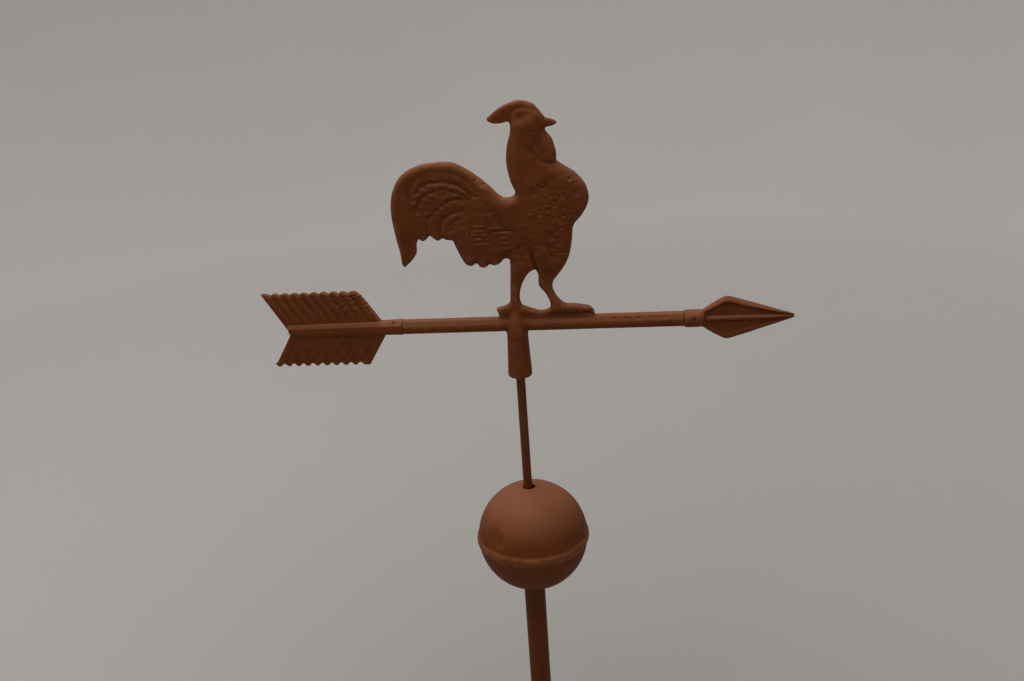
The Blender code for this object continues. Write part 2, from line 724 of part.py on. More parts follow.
def main():
    clear_scene()
    mast_finish = material("painted mast", (0.052, 0.018, 0.009), 0.62, 0.0)
    rod_finish = material("painted rod", (0.047, 0.016, 0.008), 0.6, 0.0)
    ball_finish = material("painted ball", (0.085, 0.030, 0.015), 0.66, 0.0)
    cast_finish = material("painted casting", (0.062, 0.021, 0.010), 0.68, 0.0)
    pin_finish = material("painted pin", (0.036, 0.013, 0.008), 0.5, 0.0)
    add_mast(mast_finish)
    add_rod(rod_finish)
    add_ball_upper(ball_finish)
    add_ball_lower(ball_finish)
    cockerel = add_cockerel(cast_finish)
    combine(cockerel, add_shaft(cast_finish), "UNION")
    combine(cockerel, lathe("hub", hub_profile(), HUB_FACETS, cast_finish), "UNION")
    combine(cockerel, add_bore_cutter(cast_finish), "DIFFERENCE")
    fletching = add_fletching(cast_finish)
    head = add_arrowhead(cast_finish)
    tail_pin_x = SHAFT_TAIL_END - TENON_LENGTH / 2
    head_pin_x = SHAFT_HEAD_START + TENON_LENGTH / 2
    tail_holed = (fletching, cockerel)
    head_holed = (head, cockerel)
    add_pin("fletching_pin", tail_pin_x, FLETCH_PIN_TILT, FLETCH_SLEEVE_WIDTH, pin_finish, tail_holed)
    add_pin("arrowhead_pin", head_pin_x, HEAD_PIN_TILT, HEAD_SLEEVE_DIAMETER, pin_finish, head_holed)


main()
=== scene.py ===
"""The weathervane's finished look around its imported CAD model: castings with their relief, turned
metal, the ball's two shells, matt brown paint, and a plain pale studio.

In metres, in the CAD model's own frame: +Z up, the arrow points along +X, and the cockerel's flat
side faces -Y. Each piece has the form of its CAD solid, made finer, with the carving added to it.
"""

import math

import bmesh
import bpy
import numpy as np
from mathutils import Euler, Matrix, Vector, noise
from mathutils.geometry import delaunay_2d_cdt


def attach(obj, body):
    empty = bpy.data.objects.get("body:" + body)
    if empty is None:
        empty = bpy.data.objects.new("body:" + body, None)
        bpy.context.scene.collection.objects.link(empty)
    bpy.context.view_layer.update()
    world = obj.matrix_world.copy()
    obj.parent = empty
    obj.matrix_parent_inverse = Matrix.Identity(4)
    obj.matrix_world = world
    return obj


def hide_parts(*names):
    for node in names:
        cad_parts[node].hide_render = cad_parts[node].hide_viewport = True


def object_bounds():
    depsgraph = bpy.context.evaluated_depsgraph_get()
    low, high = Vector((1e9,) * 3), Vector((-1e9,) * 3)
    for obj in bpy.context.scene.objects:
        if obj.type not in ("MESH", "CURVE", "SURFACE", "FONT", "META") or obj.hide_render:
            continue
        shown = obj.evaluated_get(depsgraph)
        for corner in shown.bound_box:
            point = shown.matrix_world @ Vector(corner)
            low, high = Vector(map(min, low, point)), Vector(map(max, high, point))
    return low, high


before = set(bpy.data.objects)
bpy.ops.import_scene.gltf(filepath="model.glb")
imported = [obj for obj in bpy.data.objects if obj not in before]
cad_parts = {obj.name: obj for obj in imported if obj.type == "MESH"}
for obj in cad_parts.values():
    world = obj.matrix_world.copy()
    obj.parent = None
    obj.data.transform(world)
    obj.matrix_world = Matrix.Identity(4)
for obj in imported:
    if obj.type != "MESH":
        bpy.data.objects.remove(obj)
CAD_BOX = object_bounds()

MM = 0.001

# Sizes of the CAD source
GAP = 0.3 * MM
MAST_DIAMETER = 20.0 * MM
MAST_LENGTH = 260.0 * MM
MAST_CHAMFER = 0.8 * MM
ROD_DIAMETER = 8.0 * MM
ROD_DEPTH_IN_MAST = 60.0 * MM
ROD_TIP_CHAMFER = 1.5 * MM
BALL_RADIUS = 51.5 * MM
BALL_WALL = 1.2 * MM
HOLE_RADIUS = ROD_DIAMETER / 2 + 2.4 * MM
BALL_OFFSET = 1.9 * MM
BALL_LEAN = math.radians(1.0)
BEAD_HEIGHT = 8.0 * MM
BALL_TO_ARROW = 158.9 * MM
HUB_LENGTH = 48.4 * MM
HUB_TOP_DIAMETER = 18.2 * MM
HUB_END_DIAMETER = 21.4 * MM
HUB_ROUNDING = 2.0 * MM
HUB_FILLET = 2.4 * MM
BORE_CLEARANCE = 0.5 * MM
BORE_ROOF = 4.0 * MM
SHAFT_WIDTH = 11.8 * MM
SHAFT_FRONT_FLAT = 0.2
BAR_TOP_HALF_FLAT = 0.29
SHAFT_TAIL_END = -100.0 * MM
SHAFT_HEAD_START = 142.5 * MM
TENON_DIAMETER = 7.6 * MM
TENON_LENGTH = 15.0 * MM
PIN_DIAMETER = 3.0 * MM
PIN_SETBACK = 0.4 * MM
FLETCH_PIN_TILT = math.radians(50)
HEAD_PIN_TILT = math.radians(10)
FLETCH_SLEEVE_LENGTH = 17.0 * MM
FLETCH_SLEEVE_WIDTH = 12.6 * MM
FLETCH_LENGTH = 88.0 * MM
FLETCH_HALF_SPAN = 34.4 * MM
FLETCH_SWEEP = 21.5 * MM
FLETCH_UPPER_SHIFT = 1.0 * MM
FLETCH_LOWER_SHIFT = 4.4 * MM
FLETCH_RIBS = 10
FLETCH_ROOT_THICKNESS = 7.0 * MM
FLETCH_EDGE_THICKNESS = 3.6 * MM
FLETCH_SCALLOP = 2.0 * MM
QUILL_END_WIDTH = 10.0 * MM
QUILL_FRONT_FLAT = 0.42
QUILL_SETBACK = 1.4 * MM
QUILL_SLANT = 0.2
HEAD_SLEEVE_DIAMETER = 15.2 * MM
HEAD_SLEEVE_LENGTH = 14.0 * MM
HEAD_SLEEVE_ROUNDING = 1.6 * MM
HEAD_LENGTH = 77.0 * MM
HEAD_SHOULDER = 21.0 * MM
HEAD_SPAN = 37.4 * MM
HEAD_RIM_WIDTH = 4.6 * MM
HEAD_RIM_THICKNESS = 7.0 * MM
HEAD_PANEL_THICKNESS = 3.6 * MM
HEAD_RIB_WIDTH = 5.0 * MM
HEAD_RIB_THICKNESS = 7.6 * MM
HEAD_EDGE_THICKNESS = 1.8 * MM
COCK_HEIGHT = 181.4 * MM
EDGE_HALF = 1.0 * MM
CROWN = 1.25
FORM_REACH = 55

SHARE = COCK_HEIGHT / 1000
BALL_SEAT = math.sqrt(BALL_RADIUS**2 - HOLE_RADIUS**2)
BALL_CENTRE_Z = MAST_LENGTH + GAP + BALL_SEAT + HOLE_RADIUS * math.sin(BALL_LEAN)
ARROW_Z = BALL_CENTRE_Z + BALL_RADIUS + BALL_TO_ARROW
SHAFT_TOP = ARROW_Z + SHAFT_WIDTH / 2
BORE_TOP_Z = ARROW_Z - BORE_ROOF
TAIL_PIN_X = SHAFT_TAIL_END - TENON_LENGTH / 2
HEAD_PIN_X = SHAFT_HEAD_START + TENON_LENGTH / 2

# How finely the pieces are made
COCK_VOXEL = 0.79 * MM
CAST_VOXEL = 0.5 * MM
OUTLINE_STEP = 0.9 * MM
GRID_STEP = 2.0 * MM
INSETS = (0.6 * MM, 1.4 * MM, 2.6 * MM)
RUN_STEP = 8
RELIEF_REACH = 2.6
VANE_STEPS_A_RIB = 16
ROUND_FACETS = 96
BALL_FACETS = 160

# The finish of the cockerel casting. The castings reach a little into each other's joints, so that
# no dark gap shows. Below the toes the pad is no wider than the shaft's top.
JOINT_OVERLAP = 0.2 * MM
PAD_TOP = 8.0 * MM
PAD_HALF = 3.7 * MM
PAD_DRAFT = 0.12
PAD_EDGE_SHARE = 0.85
TOE_LINE = 4.2 * MM
TOE_STEP = 2.2 * MM
SIDE_FROM = 0.25
SIDE_RANGE = 0.45
RELIEF_MEAN = 0.85
# How much the marks and the lines vary, the size of that, and the noise's seed.
MARKS_VARY = (0.45, 6 * MM, 31)
LINES_VARY = (0.55, 3.5 * MM, 33)
LUMP_HEIGHT = 0.34 * MM
LUMP_SIZE = 2.5 * MM
LUMP_STRETCH = (0.45, 1.0, 1.0)
DIMPLES_X = tuple(x * MM for x in (83.2, 94.1, 105.0, 115.9, 126.8))
DIMPLE_RISE = 3.3 * MM
DIMPLE_DEPTH = 0.5 * MM
DIMPLE_HALF_LENGTH = 1.5 * MM
DIMPLE_HALF_HEIGHT = 0.8 * MM
# The hub's top is softened beside the hub, from under the shaft up into the pad, and on both faces.
SOFTENING = 0.8
HUB_SOFT_ROUNDS = 28
HUB_SOFT_ASIDE = 5 * MM
HUB_SOFT_BELOW = 0.75 * SHAFT_WIDTH
HUB_SOFT_ABOVE = 1.5 * SHAFT_WIDTH
HUB_SOFT_FACE = 2.5 * MM
# The skin of a sand casting: the height and size of its two unevennesses.
CAST_SKIN = ((0.07 * MM, 5 * MM), (0.03 * MM, 1.6 * MM))
# How wide and how strong the stand-out measure is. The paint turns it into painted shade in hollows, and
# into lighter edges that are partly scuffs and partly a painted highlight.
CAST_SHADE_AND_WEAR_ROUNDS = 10
SHADE_AND_WEAR_RANGE = 0.5 * MM

# The finish of the fletching and the arrowhead
RIB_ROUNDNESS = 0.75
RIB_MIDDLE = 0.6
UPPER_RIB_DEPTH = 1.05 * MM
LOWER_RIB_DEPTH = 0.5 * MM
TOOTH_FROM = 0.9
TOOTH_REACH = 0.1
TOOTH_THINNING = 0.35
LOWER_TOOTH = 2.0
LOWER_SCALLOP = 1.5
QUILL_TOP_SHARE = 0.36
NICK_HEIGHT = 0.38 * MM
NICK_SIZE = 1.5 * MM
NICK_STRETCH = (0.45, 0.7, 1.0)
HEAD_TIP_HALF = 1.5 * MM
HEAD_TIP_SETBACK = 0.15 * MM
HEAD_CORNER = 2.2 * MM
HEAD_ROOT_FILLET = 0.12
LOWER_RIM = 0.3
HEAD_SOFT_ROUNDS = 18
HEAD_SOFT_REACH = 3 * MM
HEAD_LUMP_HEIGHT = 0.16 * MM
HEAD_LUMP_SIZE = 3 * MM
HEAD_LUMP_STRETCH = (0.5, 1.0, 1.0)

# The finish of the bars and the ball. The fine ball is kept just inside the box of the CAD model's,
# which has fewer facets. Its top hole is nearly filled by the rod, so it lies off the ball's middle.
BAR_SKIN_FROM = 3.9 * MM
BAR_SKIN_HEIGHT = 0.05 * MM
BAR_SKIN_SIZE = 12 * MM
BALL_FIT = 0.9952
BALL_SKIN_HEIGHT = 0.12 * MM
BALL_SKIN_SIZE = 30 * MM
TOP_HOLE_RADIUS = 5.8 * MM
TOP_HOLE_SHIFT = np.array((-1.4, -1.8)) * MM
TOP_HOLE_REACH = 12 * MM
# How far the bead is pushed towards the lighter edge colour: a painted highlight on the bead's band.
BEAD_HIGHLIGHT = 0.5
BEAD_FLARE = 2.6 * MM
# The bead's round, in millimetres out of the shell and down from the bead's top.
BEAD_ROUND = (
    (0.02, -1.3), (0.16, -0.7), (0.62, 0), (0.98, 0.8), (1.24, 1.8), (1.40, 2.9), (1.50, 4.1),
    (1.40, 5.2), (1.18, 6.2), (0.84, 7.1), (0.50, 8.0),
)
# Where the ball is dented: the way out of its centre, the dent's half width in degrees, and its depth.
DENTS = (
    ((-0.60, -0.72, 0.33), 10.5, 1.0 * MM),
    ((-0.52, -0.79, 0.31), 5.0, 0.45 * MM),
)

# Studio and paint. Each noise has a scale, a detail and a roughness.
CAMERA_LENS = 31.64
CAMERA_PLACE = (0.0851, -0.7324, 0.7736)
CAMERA_TURN = (1.2225, 0.0656, 0.0991)
WHITE = (1.0, 0.985, 0.96)
WORLD_STRENGTH = 0.75
SWEEP_FLOOR = 2.2
SWEEP_BEND = 1.8
SWEEP_TOP = 4.2
# The paper is painted darker in the middle of the floor as painted shade, and lighter out towards the edge.
PAPER_GRADE = (0.2, 2.6)
PAPER_SHADED_MIDDLE = (0.328, 0.319, 0.308)
PAPER_EDGE = (0.63, 0.615, 0.60)
PAPER_GLOSS = 0.05
PAPER_NOISE = (0.9, 3.0, 0.55)
BROAD_NOISE = (28.0, 4.0, 0.55)
PATCHY_NOISE = (110.0, 5.0, 0.6)
SPECK_NOISE = (650.0, 3.0, 0.6)
GRAIN_NOISE = (420.0, 4.0, 0.55)
# Painted shade in the hollows: how strongly it is mixed in, and how dark it is against the dark tone.
HOLLOW_SHADE_SHARE = 0.65
HOLLOW_SHADE_TONE = 0.45
# Edges that stand out are lighter: partly scuffed paint and partly a painted highlight.
RUBBED_AND_LIT_SHARE = 0.55
PAINT_GLOSS = 0.14

# The cockerel's outline and forms, in thousandths of its height: those of the CAD source, with a
# sharper beak, a slightly thicker comb and thinner toes. X is measured forward from the mast's axis,
# and the second number up from the top of the shaft.
OUTLINE = (
    ("front toes", (363, -36), (371, 10), (364, 30), (345, 46), (285, 58), (236, 63), (205, 88)),
    ("front shank", (205, 88), (187, 118), (179, 150), (186, 178)),
    ("front thigh", (186, 178), (234, 236), (264, 295), (279, 363), (285, 419), (296, 445)),
    ("breast", (296, 445), (333, 486), (362, 546), (353, 612), (311, 670), (258, 707), (223, 732)),
    ("wattle", (223, 732), (226, 766), (212, 822), (194, 850), (181, 868), (184, 878)),
    ("lower beak", (184, 878), (200, 880), (219, 884), (231, 890)),
    ("beak tip", (231, 890), (235, 895), (232, 901)),
    ("upper beak", (232, 901), (216, 911), (184, 920)),
    ("comb", (184, 920), (150, 965), (128, 985), (73, 1000), (12, 985), (-35, 960), (-76, 928)),
    ("comb lobe", (-76, 928), (-68, 914), (-45, 905), (-12, 904), (18, 910), (28, 898)),
    ("nape", (28, 898), (25, 862), (8, 805), (0, 728), (14, 646), (31, 604), (30, 588), (15, 577)),
    ("saddle", (15, 577), (-14, 574), (-42, 587), (-90, 637), (-160, 696), (-236, 741), (-300, 750)),
    ("sickle", (-300, 750), (-400, 739), (-486, 697), (-537, 615), (-551, 520), (-540, 405)),
    ("sickle edge", (-540, 405), (-528, 330), (-524, 280), (-513, 264)),
    ("sickle tip", (-513, 264), (-472, 300), (-450, 335), (-446, 375), (-433, 399)),
    ("feather end", (-433, 399), (-410, 387), (-379, 413)),
    ("feather end", (-379, 413), (-346, 387), (-319, 398)),
    ("feather end", (-319, 398), (-300, 388), (-273, 386)),
    ("rump", (-273, 386), (-250, 325), (-226, 276), (-198, 259), (-169, 273)),
    ("rump feather", (-169, 273), (-156, 256), (-140, 249), (-122, 254), (-108, 267)),
    ("rump feather", (-108, 267), (-90, 259), (-62, 266), (-38, 288), (-12, 287)),
    ("back shank", (-12, 287), (-14, 230), (-20, 140), (-24, 78)),
    ("back toes", (-24, 78), (-48, 60), (-92, 47), (-84, 24), (-79, -36)),
)
LEG_GAP = (
    ("behind the front leg", (162, 42), (165, 66), (146, 112), (116, 154), (115, 205), (103, 234)),
    ("before the back leg", (103, 234), (68, 212), (34, 156), (22, 100), (30, 60)),
    ("pad", (30, 60), (60, 49), (108, 31), (137, 32), (162, 42)),
)

# Half thickness of the casting around each of these places.
FORMS = (
    ("breast", (270, 570), 46),
    ("body", (150, 480), 47),
    ("belly", (190, 370), 44),
    ("saddle", (-30, 500), 38),
    ("rump", (-150, 380), 34),
    ("tail", (-320, 560), 26),
    ("top of tail", (-330, 710), 24),
    ("back of tail", (-510, 520), 22),
    ("tail tip", (-490, 320), 15),
    ("neck", (110, 700), 40),
    ("head", (115, 870), 35),
    ("comb", (80, 970), 17),
    ("comb lobe", (-45, 930), 13),
    ("beak", (205, 900), 12),
    ("wattle", (200, 790), 26),
    ("front thigh", (215, 320), 40),
    ("front shank", (165, 170), 21),
    ("back thigh", (45, 290), 32),
    ("back shank", (0, 150), 21),
    ("front toes", (300, 35), 28),
    ("back toes", (-50, 30), 24),
    ("pad", (110, 5), 32),
)

# Long lines of the relief: half width, height (a groove's is negative), and where they run.
CURVES = (
    ("sickle edge", 10, -1.8, (-132, 616), (-167, 651), (-205, 684), (-245, 703), (-299, 712),
     (-354, 709), (-402, 693), (-432, 672), (-450, 643), (-458, 602)),
    ("second feather edge", 10, -2.8, (-135, 580), (-170, 604), (-201, 629), (-228, 646), (-259, 658),
     (-295, 664), (-327, 660), (-355, 662), (-379, 654), (-404, 640), (-422, 616)),
    ("third feather edge", 8, -2, (-172, 585), (-217, 604), (-253, 613), (-289, 629), (-322, 623),
     (-354, 616), (-382, 608), (-403, 588), (-420, 564), (-428, 536)),
    ("fourth feather edge", 9, -2.4, (-173, 574), (-209, 580), (-242, 581), (-280, 568), (-310, 553),
     (-330, 536), (-360, 516), (-381, 492), (-388, 449)),
    ("fifth feather edge", 10, -3, (-214, 530), (-242, 523), (-272, 512), (-296, 498), (-317, 477),
     (-325, 442)),
    ("sixth feather edge", 8, -1.8, (-226, 491), (-250, 485), (-268, 469), (-277, 442)),
    ("fifth feather", 14, 2, (-202, 556), (-245, 557), (-277, 550), (-306, 536), (-327, 513)),
    ("sixth feather", 11, 2, (-235, 507), (-263, 498), (-287, 484), (-303, 461), (-306, 433)),
    ("second feather", 19, 1.2, (-168, 631), (-203, 659), (-247, 681), (-301, 688), (-356, 686),
     (-404, 668), (-429, 637)),
    ("sickle", 23, 1.5, (-182, 698), (-243, 725), (-316, 733), (-399, 724), (-457, 693), (-496, 640),
     (-509, 563), (-505, 469), (-500, 358)),
    ("slant line on sickle", 8, -1, (-421, 476), (-451, 447)),
    ("neck feathers", 20, 1, (96, 634), (142, 656), (188, 678), (233, 694), (271, 696)),
    ("wattle", 23, 2, (172, 809), (184, 782), (191, 764)),
    ("comb crest", 16, 1.2, (-38, 944), (-1, 965), (35, 978), (80, 986), (123, 973)),
    ("comb lobe fold", 11, -1.6, (-39, 931), (-13, 923), (18, 921)),
    ("beak root", 7, -2.4, (179, 914), (182, 893), (183, 871)),
    ("mouth", 5, -1.2, (184, 892), (206, 892)),
    ("front of the wing", 20, -2.4, (-87, 538), (-67, 508), (-46, 476), (-26, 438)),
    ("top of the wing", 12, -1.6, (-163, 520), (-130, 520), (-103, 516)),
    ("saddle line", 9, -1.4, (-78, 582), (-90, 567), (-105, 552)),
    ("saddle ridge", 10, 1.2, (-122, 629), (-105, 617), (-87, 609)),
    ("rump front", 16, -3.2, (-40, 309), (-16, 323), (8, 337), (32, 350)),
    ("between the thighs", 12, -5, (86, 328), (93, 295), (103, 263), (113, 239)),
    ("top of the thigh", 14, -1.4, (91, 334), (116, 357), (149, 360), (180, 347), (207, 340)),
    ("side of the thigh", 14, -1.4, (224, 316), (234, 286), (221, 252), (196, 222)),
    ("long breast line", 8, -1.4, (198, 612), (217, 589), (236, 572)),
    ("second breast line", 7, -1, (197, 581), (216, 560)),
    ("under the front claws", 9, -4, (325, 22), (345, 18), (368, 9)),
    ("under the back toes", 8, -1.5, (-86, 26), (-60, 24), (-36, 30)),
)
# Ledges, where one part lies over another: how wide the step is, its height, how far behind the edge
# the height runs out, and the edge, with the raised part on its right.
LEDGES = (
    ("head over the comb", 13, 5.5, 70, (39, 900), (38, 925), (45, 946), (62, 958), (85, 963), (113, 958),
     (144, 945), (165, 929), (181, 905)),
    ("wattle over the neck", 11, 5, 50, (225, 729), (185, 735), (159, 745), (143, 760), (134, 776)),
    ("neck over the breast", 26, 4.5, 80, (300, 676), (276, 683), (245, 677), (218, 667), (191, 655),
     (163, 643), (131, 624)),
    ("wing over the rump", 18, 3, 60, (20, 345), (-15, 328), (-53, 326), (-90, 328), (-122, 338),
     (-154, 348), (-186, 356)),
)
# Short strokes of the relief: half width and height, and then the ends of each, as x, z, x, z.
STROKES = (
    (7, 4, (-194, 607, -216, 621), (-220, 623, -246, 634), (-251, 635, -269, 639),
     (-282, 644, -305, 645), (-317, 645, -333, 642), (-342, 647, -366, 637), (-367, 623, -394, 631),
     (-408, 605, -436, 600), (-424, 568, -448, 571)),
    (7, 3, (-222, 598, -263, 600), (-273, 596, -306, 589), (-320, 587, -334, 604),
     (-342, 598, -365, 606), (-371, 582, -392, 585), (-393, 551, -412, 552), (-377, 518, -389, 521),
     (-74, 46, -40, 58)),
    (6, 2.5, (-319, 522, -346, 519), (-338, 493, -359, 495), (-409, 512, -430, 515),
     (-411, 489, -437, 490), (-305, 542, -318, 538), (139, 319, 158, 321), (152, 305, 173, 302),
     (228, 305, 246, 304), (124, 261, 140, 260), (143, 239, 166, 238), (139, 214, 167, 213),
     (181, 280, 204, 281), (183, 244, 202, 246), (222, 273, 235, 276), (17, 301, 38, 300),
     (52, 293, 77, 291), (32, 269, 59, 267), (5, 264, 9, 250), (54, 224, 55, 201), (15, 202, 43, 200),
     (30, 245, 63, 244), (113, 305, 136, 310)),
    (6, 3, (-222, 675, -242, 678), (-216, 666, -225, 671), (-130, 580, -153, 579), (-96, 616, -120, 629),
     (-14, 567, -25, 568)),
    (6, 4, (-79, 442, -26, 440), (-73, 419, -18, 417), (-47, 397, -8, 396), (-54, 371, -13, 368),
     (-56, 346, 4, 343)),
    (6, -4, (-146, 663, -142, 663), (-108, 645, -105, 644), (-329, 655, -325, 655)),
    (5, 4, (-164, 452, -117, 451), (-170, 432, -124, 430), (-176, 414, -102, 411),
     (-168, 392, -131, 390), (-108, 389, -97, 389), (-156, 369, -96, 367)),
    (5, 2.2, (146, 561, 169, 558), (163, 534, 187, 533), (168, 505, 187, 506), (108, 522, 132, 514),
     (238, 562, 256, 563), (222, 653, 240, 654), (219, 627, 235, 628), (279, 637, 288, 639),
     (297, 644, 306, 645), (283, 607, 296, 607), (241, 478, 263, 478), (190, 456, 204, 456),
     (157, 424, 173, 426), (135, 404, 151, 413), (225, 428, 247, 428), (230, 447, 253, 448),
     (116, 578, 142, 576), (234, 511, 256, 512), (198, 522, 216, 526), (201, 490, 219, 491),
     (206, 402, 228, 405), (109, 395, 123, 391), (257, 537, 280, 539), (299, 572, 321, 572),
     (287, 509, 305, 512), (264, 591, 286, 592), (133, 489, 151, 485), (93, 499, 111, 496)),
    (5, 2.5, (184, 375, 200, 376), (46, 375, 78, 374), (82, 397, 93, 394), (59, 458, 64, 447),
     (48, 417, 66, 407), (212, 350, 230, 354)),
    (5, 1.5, (-150, 503, -105, 500), (-161, 482, -120, 481), (-158, 469, -116, 468),
     (-91, 487, -74, 473)),
    (5, 0.9, (208, 763, 214, 766)),
    (5, -3, (-77, 430, 29, 427)),
    (6, 2, (-103, 510, -81, 500), (200, 86, 211, 72)),
    (6, -3, (-210, 459, -206, 459), (-214, 422, -211, 422), (-206, 368, -202, 368),
     (-254, 462, -250, 462), (-267, 446, -263, 446), (230, 480, 234, 479), (84, 379, 88, 379),
     (333, 492, 336, 488)),
    (5, 2, (-198, 451, -194, 444), (-198, 423, -199, 416), (-222, 365, -219, 351)),
    (5, 1.2, (113, 856, 129, 855)),
    (6, -5, (161, 617, 164, 617)),
    (6, -5.5, (277, 654, 281, 654)),
    (7, -2, (138, 630, 142, 630), (115, 611, 119, 611)),
    (7, -3, (284, 471, 287, 471)),
    (6, -2, (62, 479, 66, 480), (254, 412, 257, 412)),
    (6, -2.5, (54, 434, 58, 434)),
    (6, -1.5, (343, 621, 346, 620)),
    (5, -2, (19, 220, 47, 222), (-7, 117, 7, 116)),
    (5, -1.2, (112, 865, 131, 864), (111, 847, 130, 846)),
    (8, -1.2, (61, 836, 88, 834)),
    (6, 0.6, (163, 843, 178, 843)),
    (11, -1.2, (88, 767, 102, 767)),
    (10, 0.9, (43, 799, 88, 808), (71, 741, 116, 746), (123, 772, 131, 751)),
    (9, -0.9, (75, 726, 93, 725), (128, 728, 146, 727)),
    (7, 2, (36, 53, 68, 41)),
    (11, 5, (222, 52, 232, 48), (260, 51, 270, 47), (297, 50, 307, 46), (331, 44, 340, 38)),
)
# Middles of the feathered places and how far they reach.
FEATHERED = (
    ((250, 560), 95), ((230, 440), 80), ((180, 500), 80), ((185, 320), 75), ((45, 290), 60),
    ((-60, 430), 80), ((-150, 430), 80), ((-290, 590), 100),
)


# Meshes


def object_of(name, points, faces):
    """A mesh object whose faces point outwards."""
    mesh = bpy.data.meshes.new(name)
    mesh.from_pydata([tuple(map(float, point)) for point in points], [], faces)
    work = bmesh.new()
    work.from_mesh(mesh)
    bmesh.ops.recalc_face_normals(work, faces=work.faces)
    work.to_mesh(mesh)
    work.free()
    obj = bpy.data.objects.new(name, mesh)
    bpy.context.scene.collection.objects.link(obj)
    return obj


def apply_modifiers(obj):
    bpy.context.view_layer.update()
    graph = bpy.context.evaluated_depsgraph_get()
    mesh = bpy.data.meshes.new_from_object(obj.evaluated_get(graph))
    old = obj.data
    obj.modifiers.clear()
    obj.data = mesh
    bpy.data.meshes.remove(old)


def combine(target, other, operation):
    """Adds the other closed body to the target, or takes it away."""
    change = target.modifiers.new(operation.title(), "BOOLEAN")
    change.operation = operation
    change.solver = "EXACT"
    change.object = other
    apply_modifiers(target)
    bpy.data.objects.remove(other, do_unlink=True)


def remesh(obj, voxel):
    change = obj.modifiers.new("Remesh", "REMESH")
    change.mode = "VOXEL"
    change.voxel_size = voxel
    apply_modifiers(obj)


def points_of(mesh):
    flat = np.empty(3 * len(mesh.vertices))
    mesh.vertices.foreach_get("co", flat)
    return flat.reshape(-1, 3)


def set_points(mesh, points):
    mesh.vertices.foreach_set("co", points.ravel())
    mesh.update()


def normals_of(mesh):
    flat = np.empty(3 * len(mesh.vertices))
    mesh.vertex_normals.foreach_get("vector", flat)
    return flat.reshape(-1, 3)


def neighbours(mesh):
    """A function that gives each point the mean of a value at the points joined to it."""
    flat = np.empty(2 * len(mesh.edges), int)
    mesh.edges.foreach_get("vertices", flat)
    a, b = flat.reshape(-1, 2).T
    ends = np.concatenate([a, b])
    others = np.concatenate([b, a])
    size = len(mesh.vertices)
    count = np.maximum(np.bincount(ends, minlength=size), 1)

    def mean(values):
        columns = [np.bincount(ends, values[others, i], size) / count for i in range(values.shape[1])]
        return np.column_stack(columns)

    return mean


def smooth(mesh, rounds):
    """Evens the surface out and keeps its volume."""
    mean = neighbours(mesh)
    points = points_of(mesh)
    for _ in range(rounds):
        points += 0.5 * (mean(points) - points)
        points -= 0.52 * (mean(points) - points)
    set_points(mesh, points)


def mark_shade_and_wear(mesh, rounds, added=0):
    """Stores how far each point stands out of (above 0.5) or lies in (below) the surface around it. The
    paint turns it into painted shade in the hollows, and into lighter edges that are partly scuffed and
    partly a painted highlight.
    """
    mean = neighbours(mesh)
    points = points_of(mesh)
    around = points.copy()
    for _ in range(rounds):
        around = mean(around)
    stands = ((points - around) * normals_of(mesh)).sum(axis=1)
    shade_and_wear = np.clip(0.5 + stands / SHADE_AND_WEAR_RANGE + added, 0, 1)
    layer = mesh.attributes.new("shade_and_wear", "FLOAT", "POINT")
    layer.data.foreach_set("value", shade_and_wear.astype(np.float32))


def rough(points, size, seed):
    """Smooth noise from -1 to 1 at each point, with lumps about a size across."""
    shift = Vector((seed * 3.1, seed * 5.7, seed * 7.3))
    return np.array([noise.noise(Vector(point) / size + shift) for point in points])


def lathe(name, profile, facets, turn=None):
    """Turns (radius, height) points about Z. A profile that starts and ends on the axis is solid,
    and one that does neither is joined end to start."""
    points = []
    rings = []
    for radius, height in profile:
        if radius == 0:
            rings.append([len(points)] * facets)
            points.append((0, 0, height))
            continue
        rings.append(list(range(len(points), len(points) + facets)))
        for i in range(facets):
            angle = 2 * math.pi * (i + 0.5) / facets
            points.append((radius * math.cos(angle), radius * math.sin(angle), height))
    pairs = list(zip(rings, rings[1:]))
    if profile[0][0] > 0:
        pairs.append((rings[-1], rings[0]))
    faces = []
    for low, high in pairs:
        for i in range(facets):
            j = (i + 1) % facets
            faces.append(list(dict.fromkeys([low[i], low[j], high[j], high[i]])))
    made = object_of(name, points, faces)
    if turn is not None:
        made.data.transform(turn)
    return made


def loft(name, sections):
    """A closed solid through rings of equally many points, with flat ends."""
    count = len(sections[0])
    points = [point for section in sections for point in section]
    faces = [list(range(count)), list(range(len(points) - count, len(points)))]
    for row in range(len(sections) - 1):
        for i in range(count):
            j = (i + 1) % count
            start = row * count
            faces.append([start + i, start + j, start + count + j, start + count + i])
    return object_of(name, points, faces)


def cylinder(name, radius, low, high, facets, turn=None):
    return lathe(name, [(0, low), (radius, low), (radius, high), (0, high)], facets, turn)


def arc(centre, radius, start, end, steps):
    """Points of a circle in a profile, from one angle to another, in degrees."""
    angles = np.radians(np.linspace(start, end, steps + 1))
    return [(centre[0] + radius * math.cos(a), centre[1] + radius * math.sin(a)) for a in angles]


def fine(profile, step):
    """A profile with points added so that none is further than a step from the next."""
    made = [profile[0]]
    for start, end in zip(profile, profile[1:]):
        count = max(1, math.ceil(math.dist(start, end) / step))
        for i in range(1, count + 1):
            t = i / count
            made.append((start[0] + (end[0] - start[0]) * t, start[1] + (end[1] - start[1]) * t))
    return made


def along_x(x, way=1):
    """Lays a lathe's axis along the arrow from x, forward (way 1) or back (way -1)."""
    return Matrix.Translation((x, 0, ARROW_Z)) @ Matrix.Rotation(math.radians(90 * way), 4, "Y")


def faded(value, width):
    """From 0 to 1 as the value goes from 0 to the width."""
    return np.clip(value / width, 0, 1)


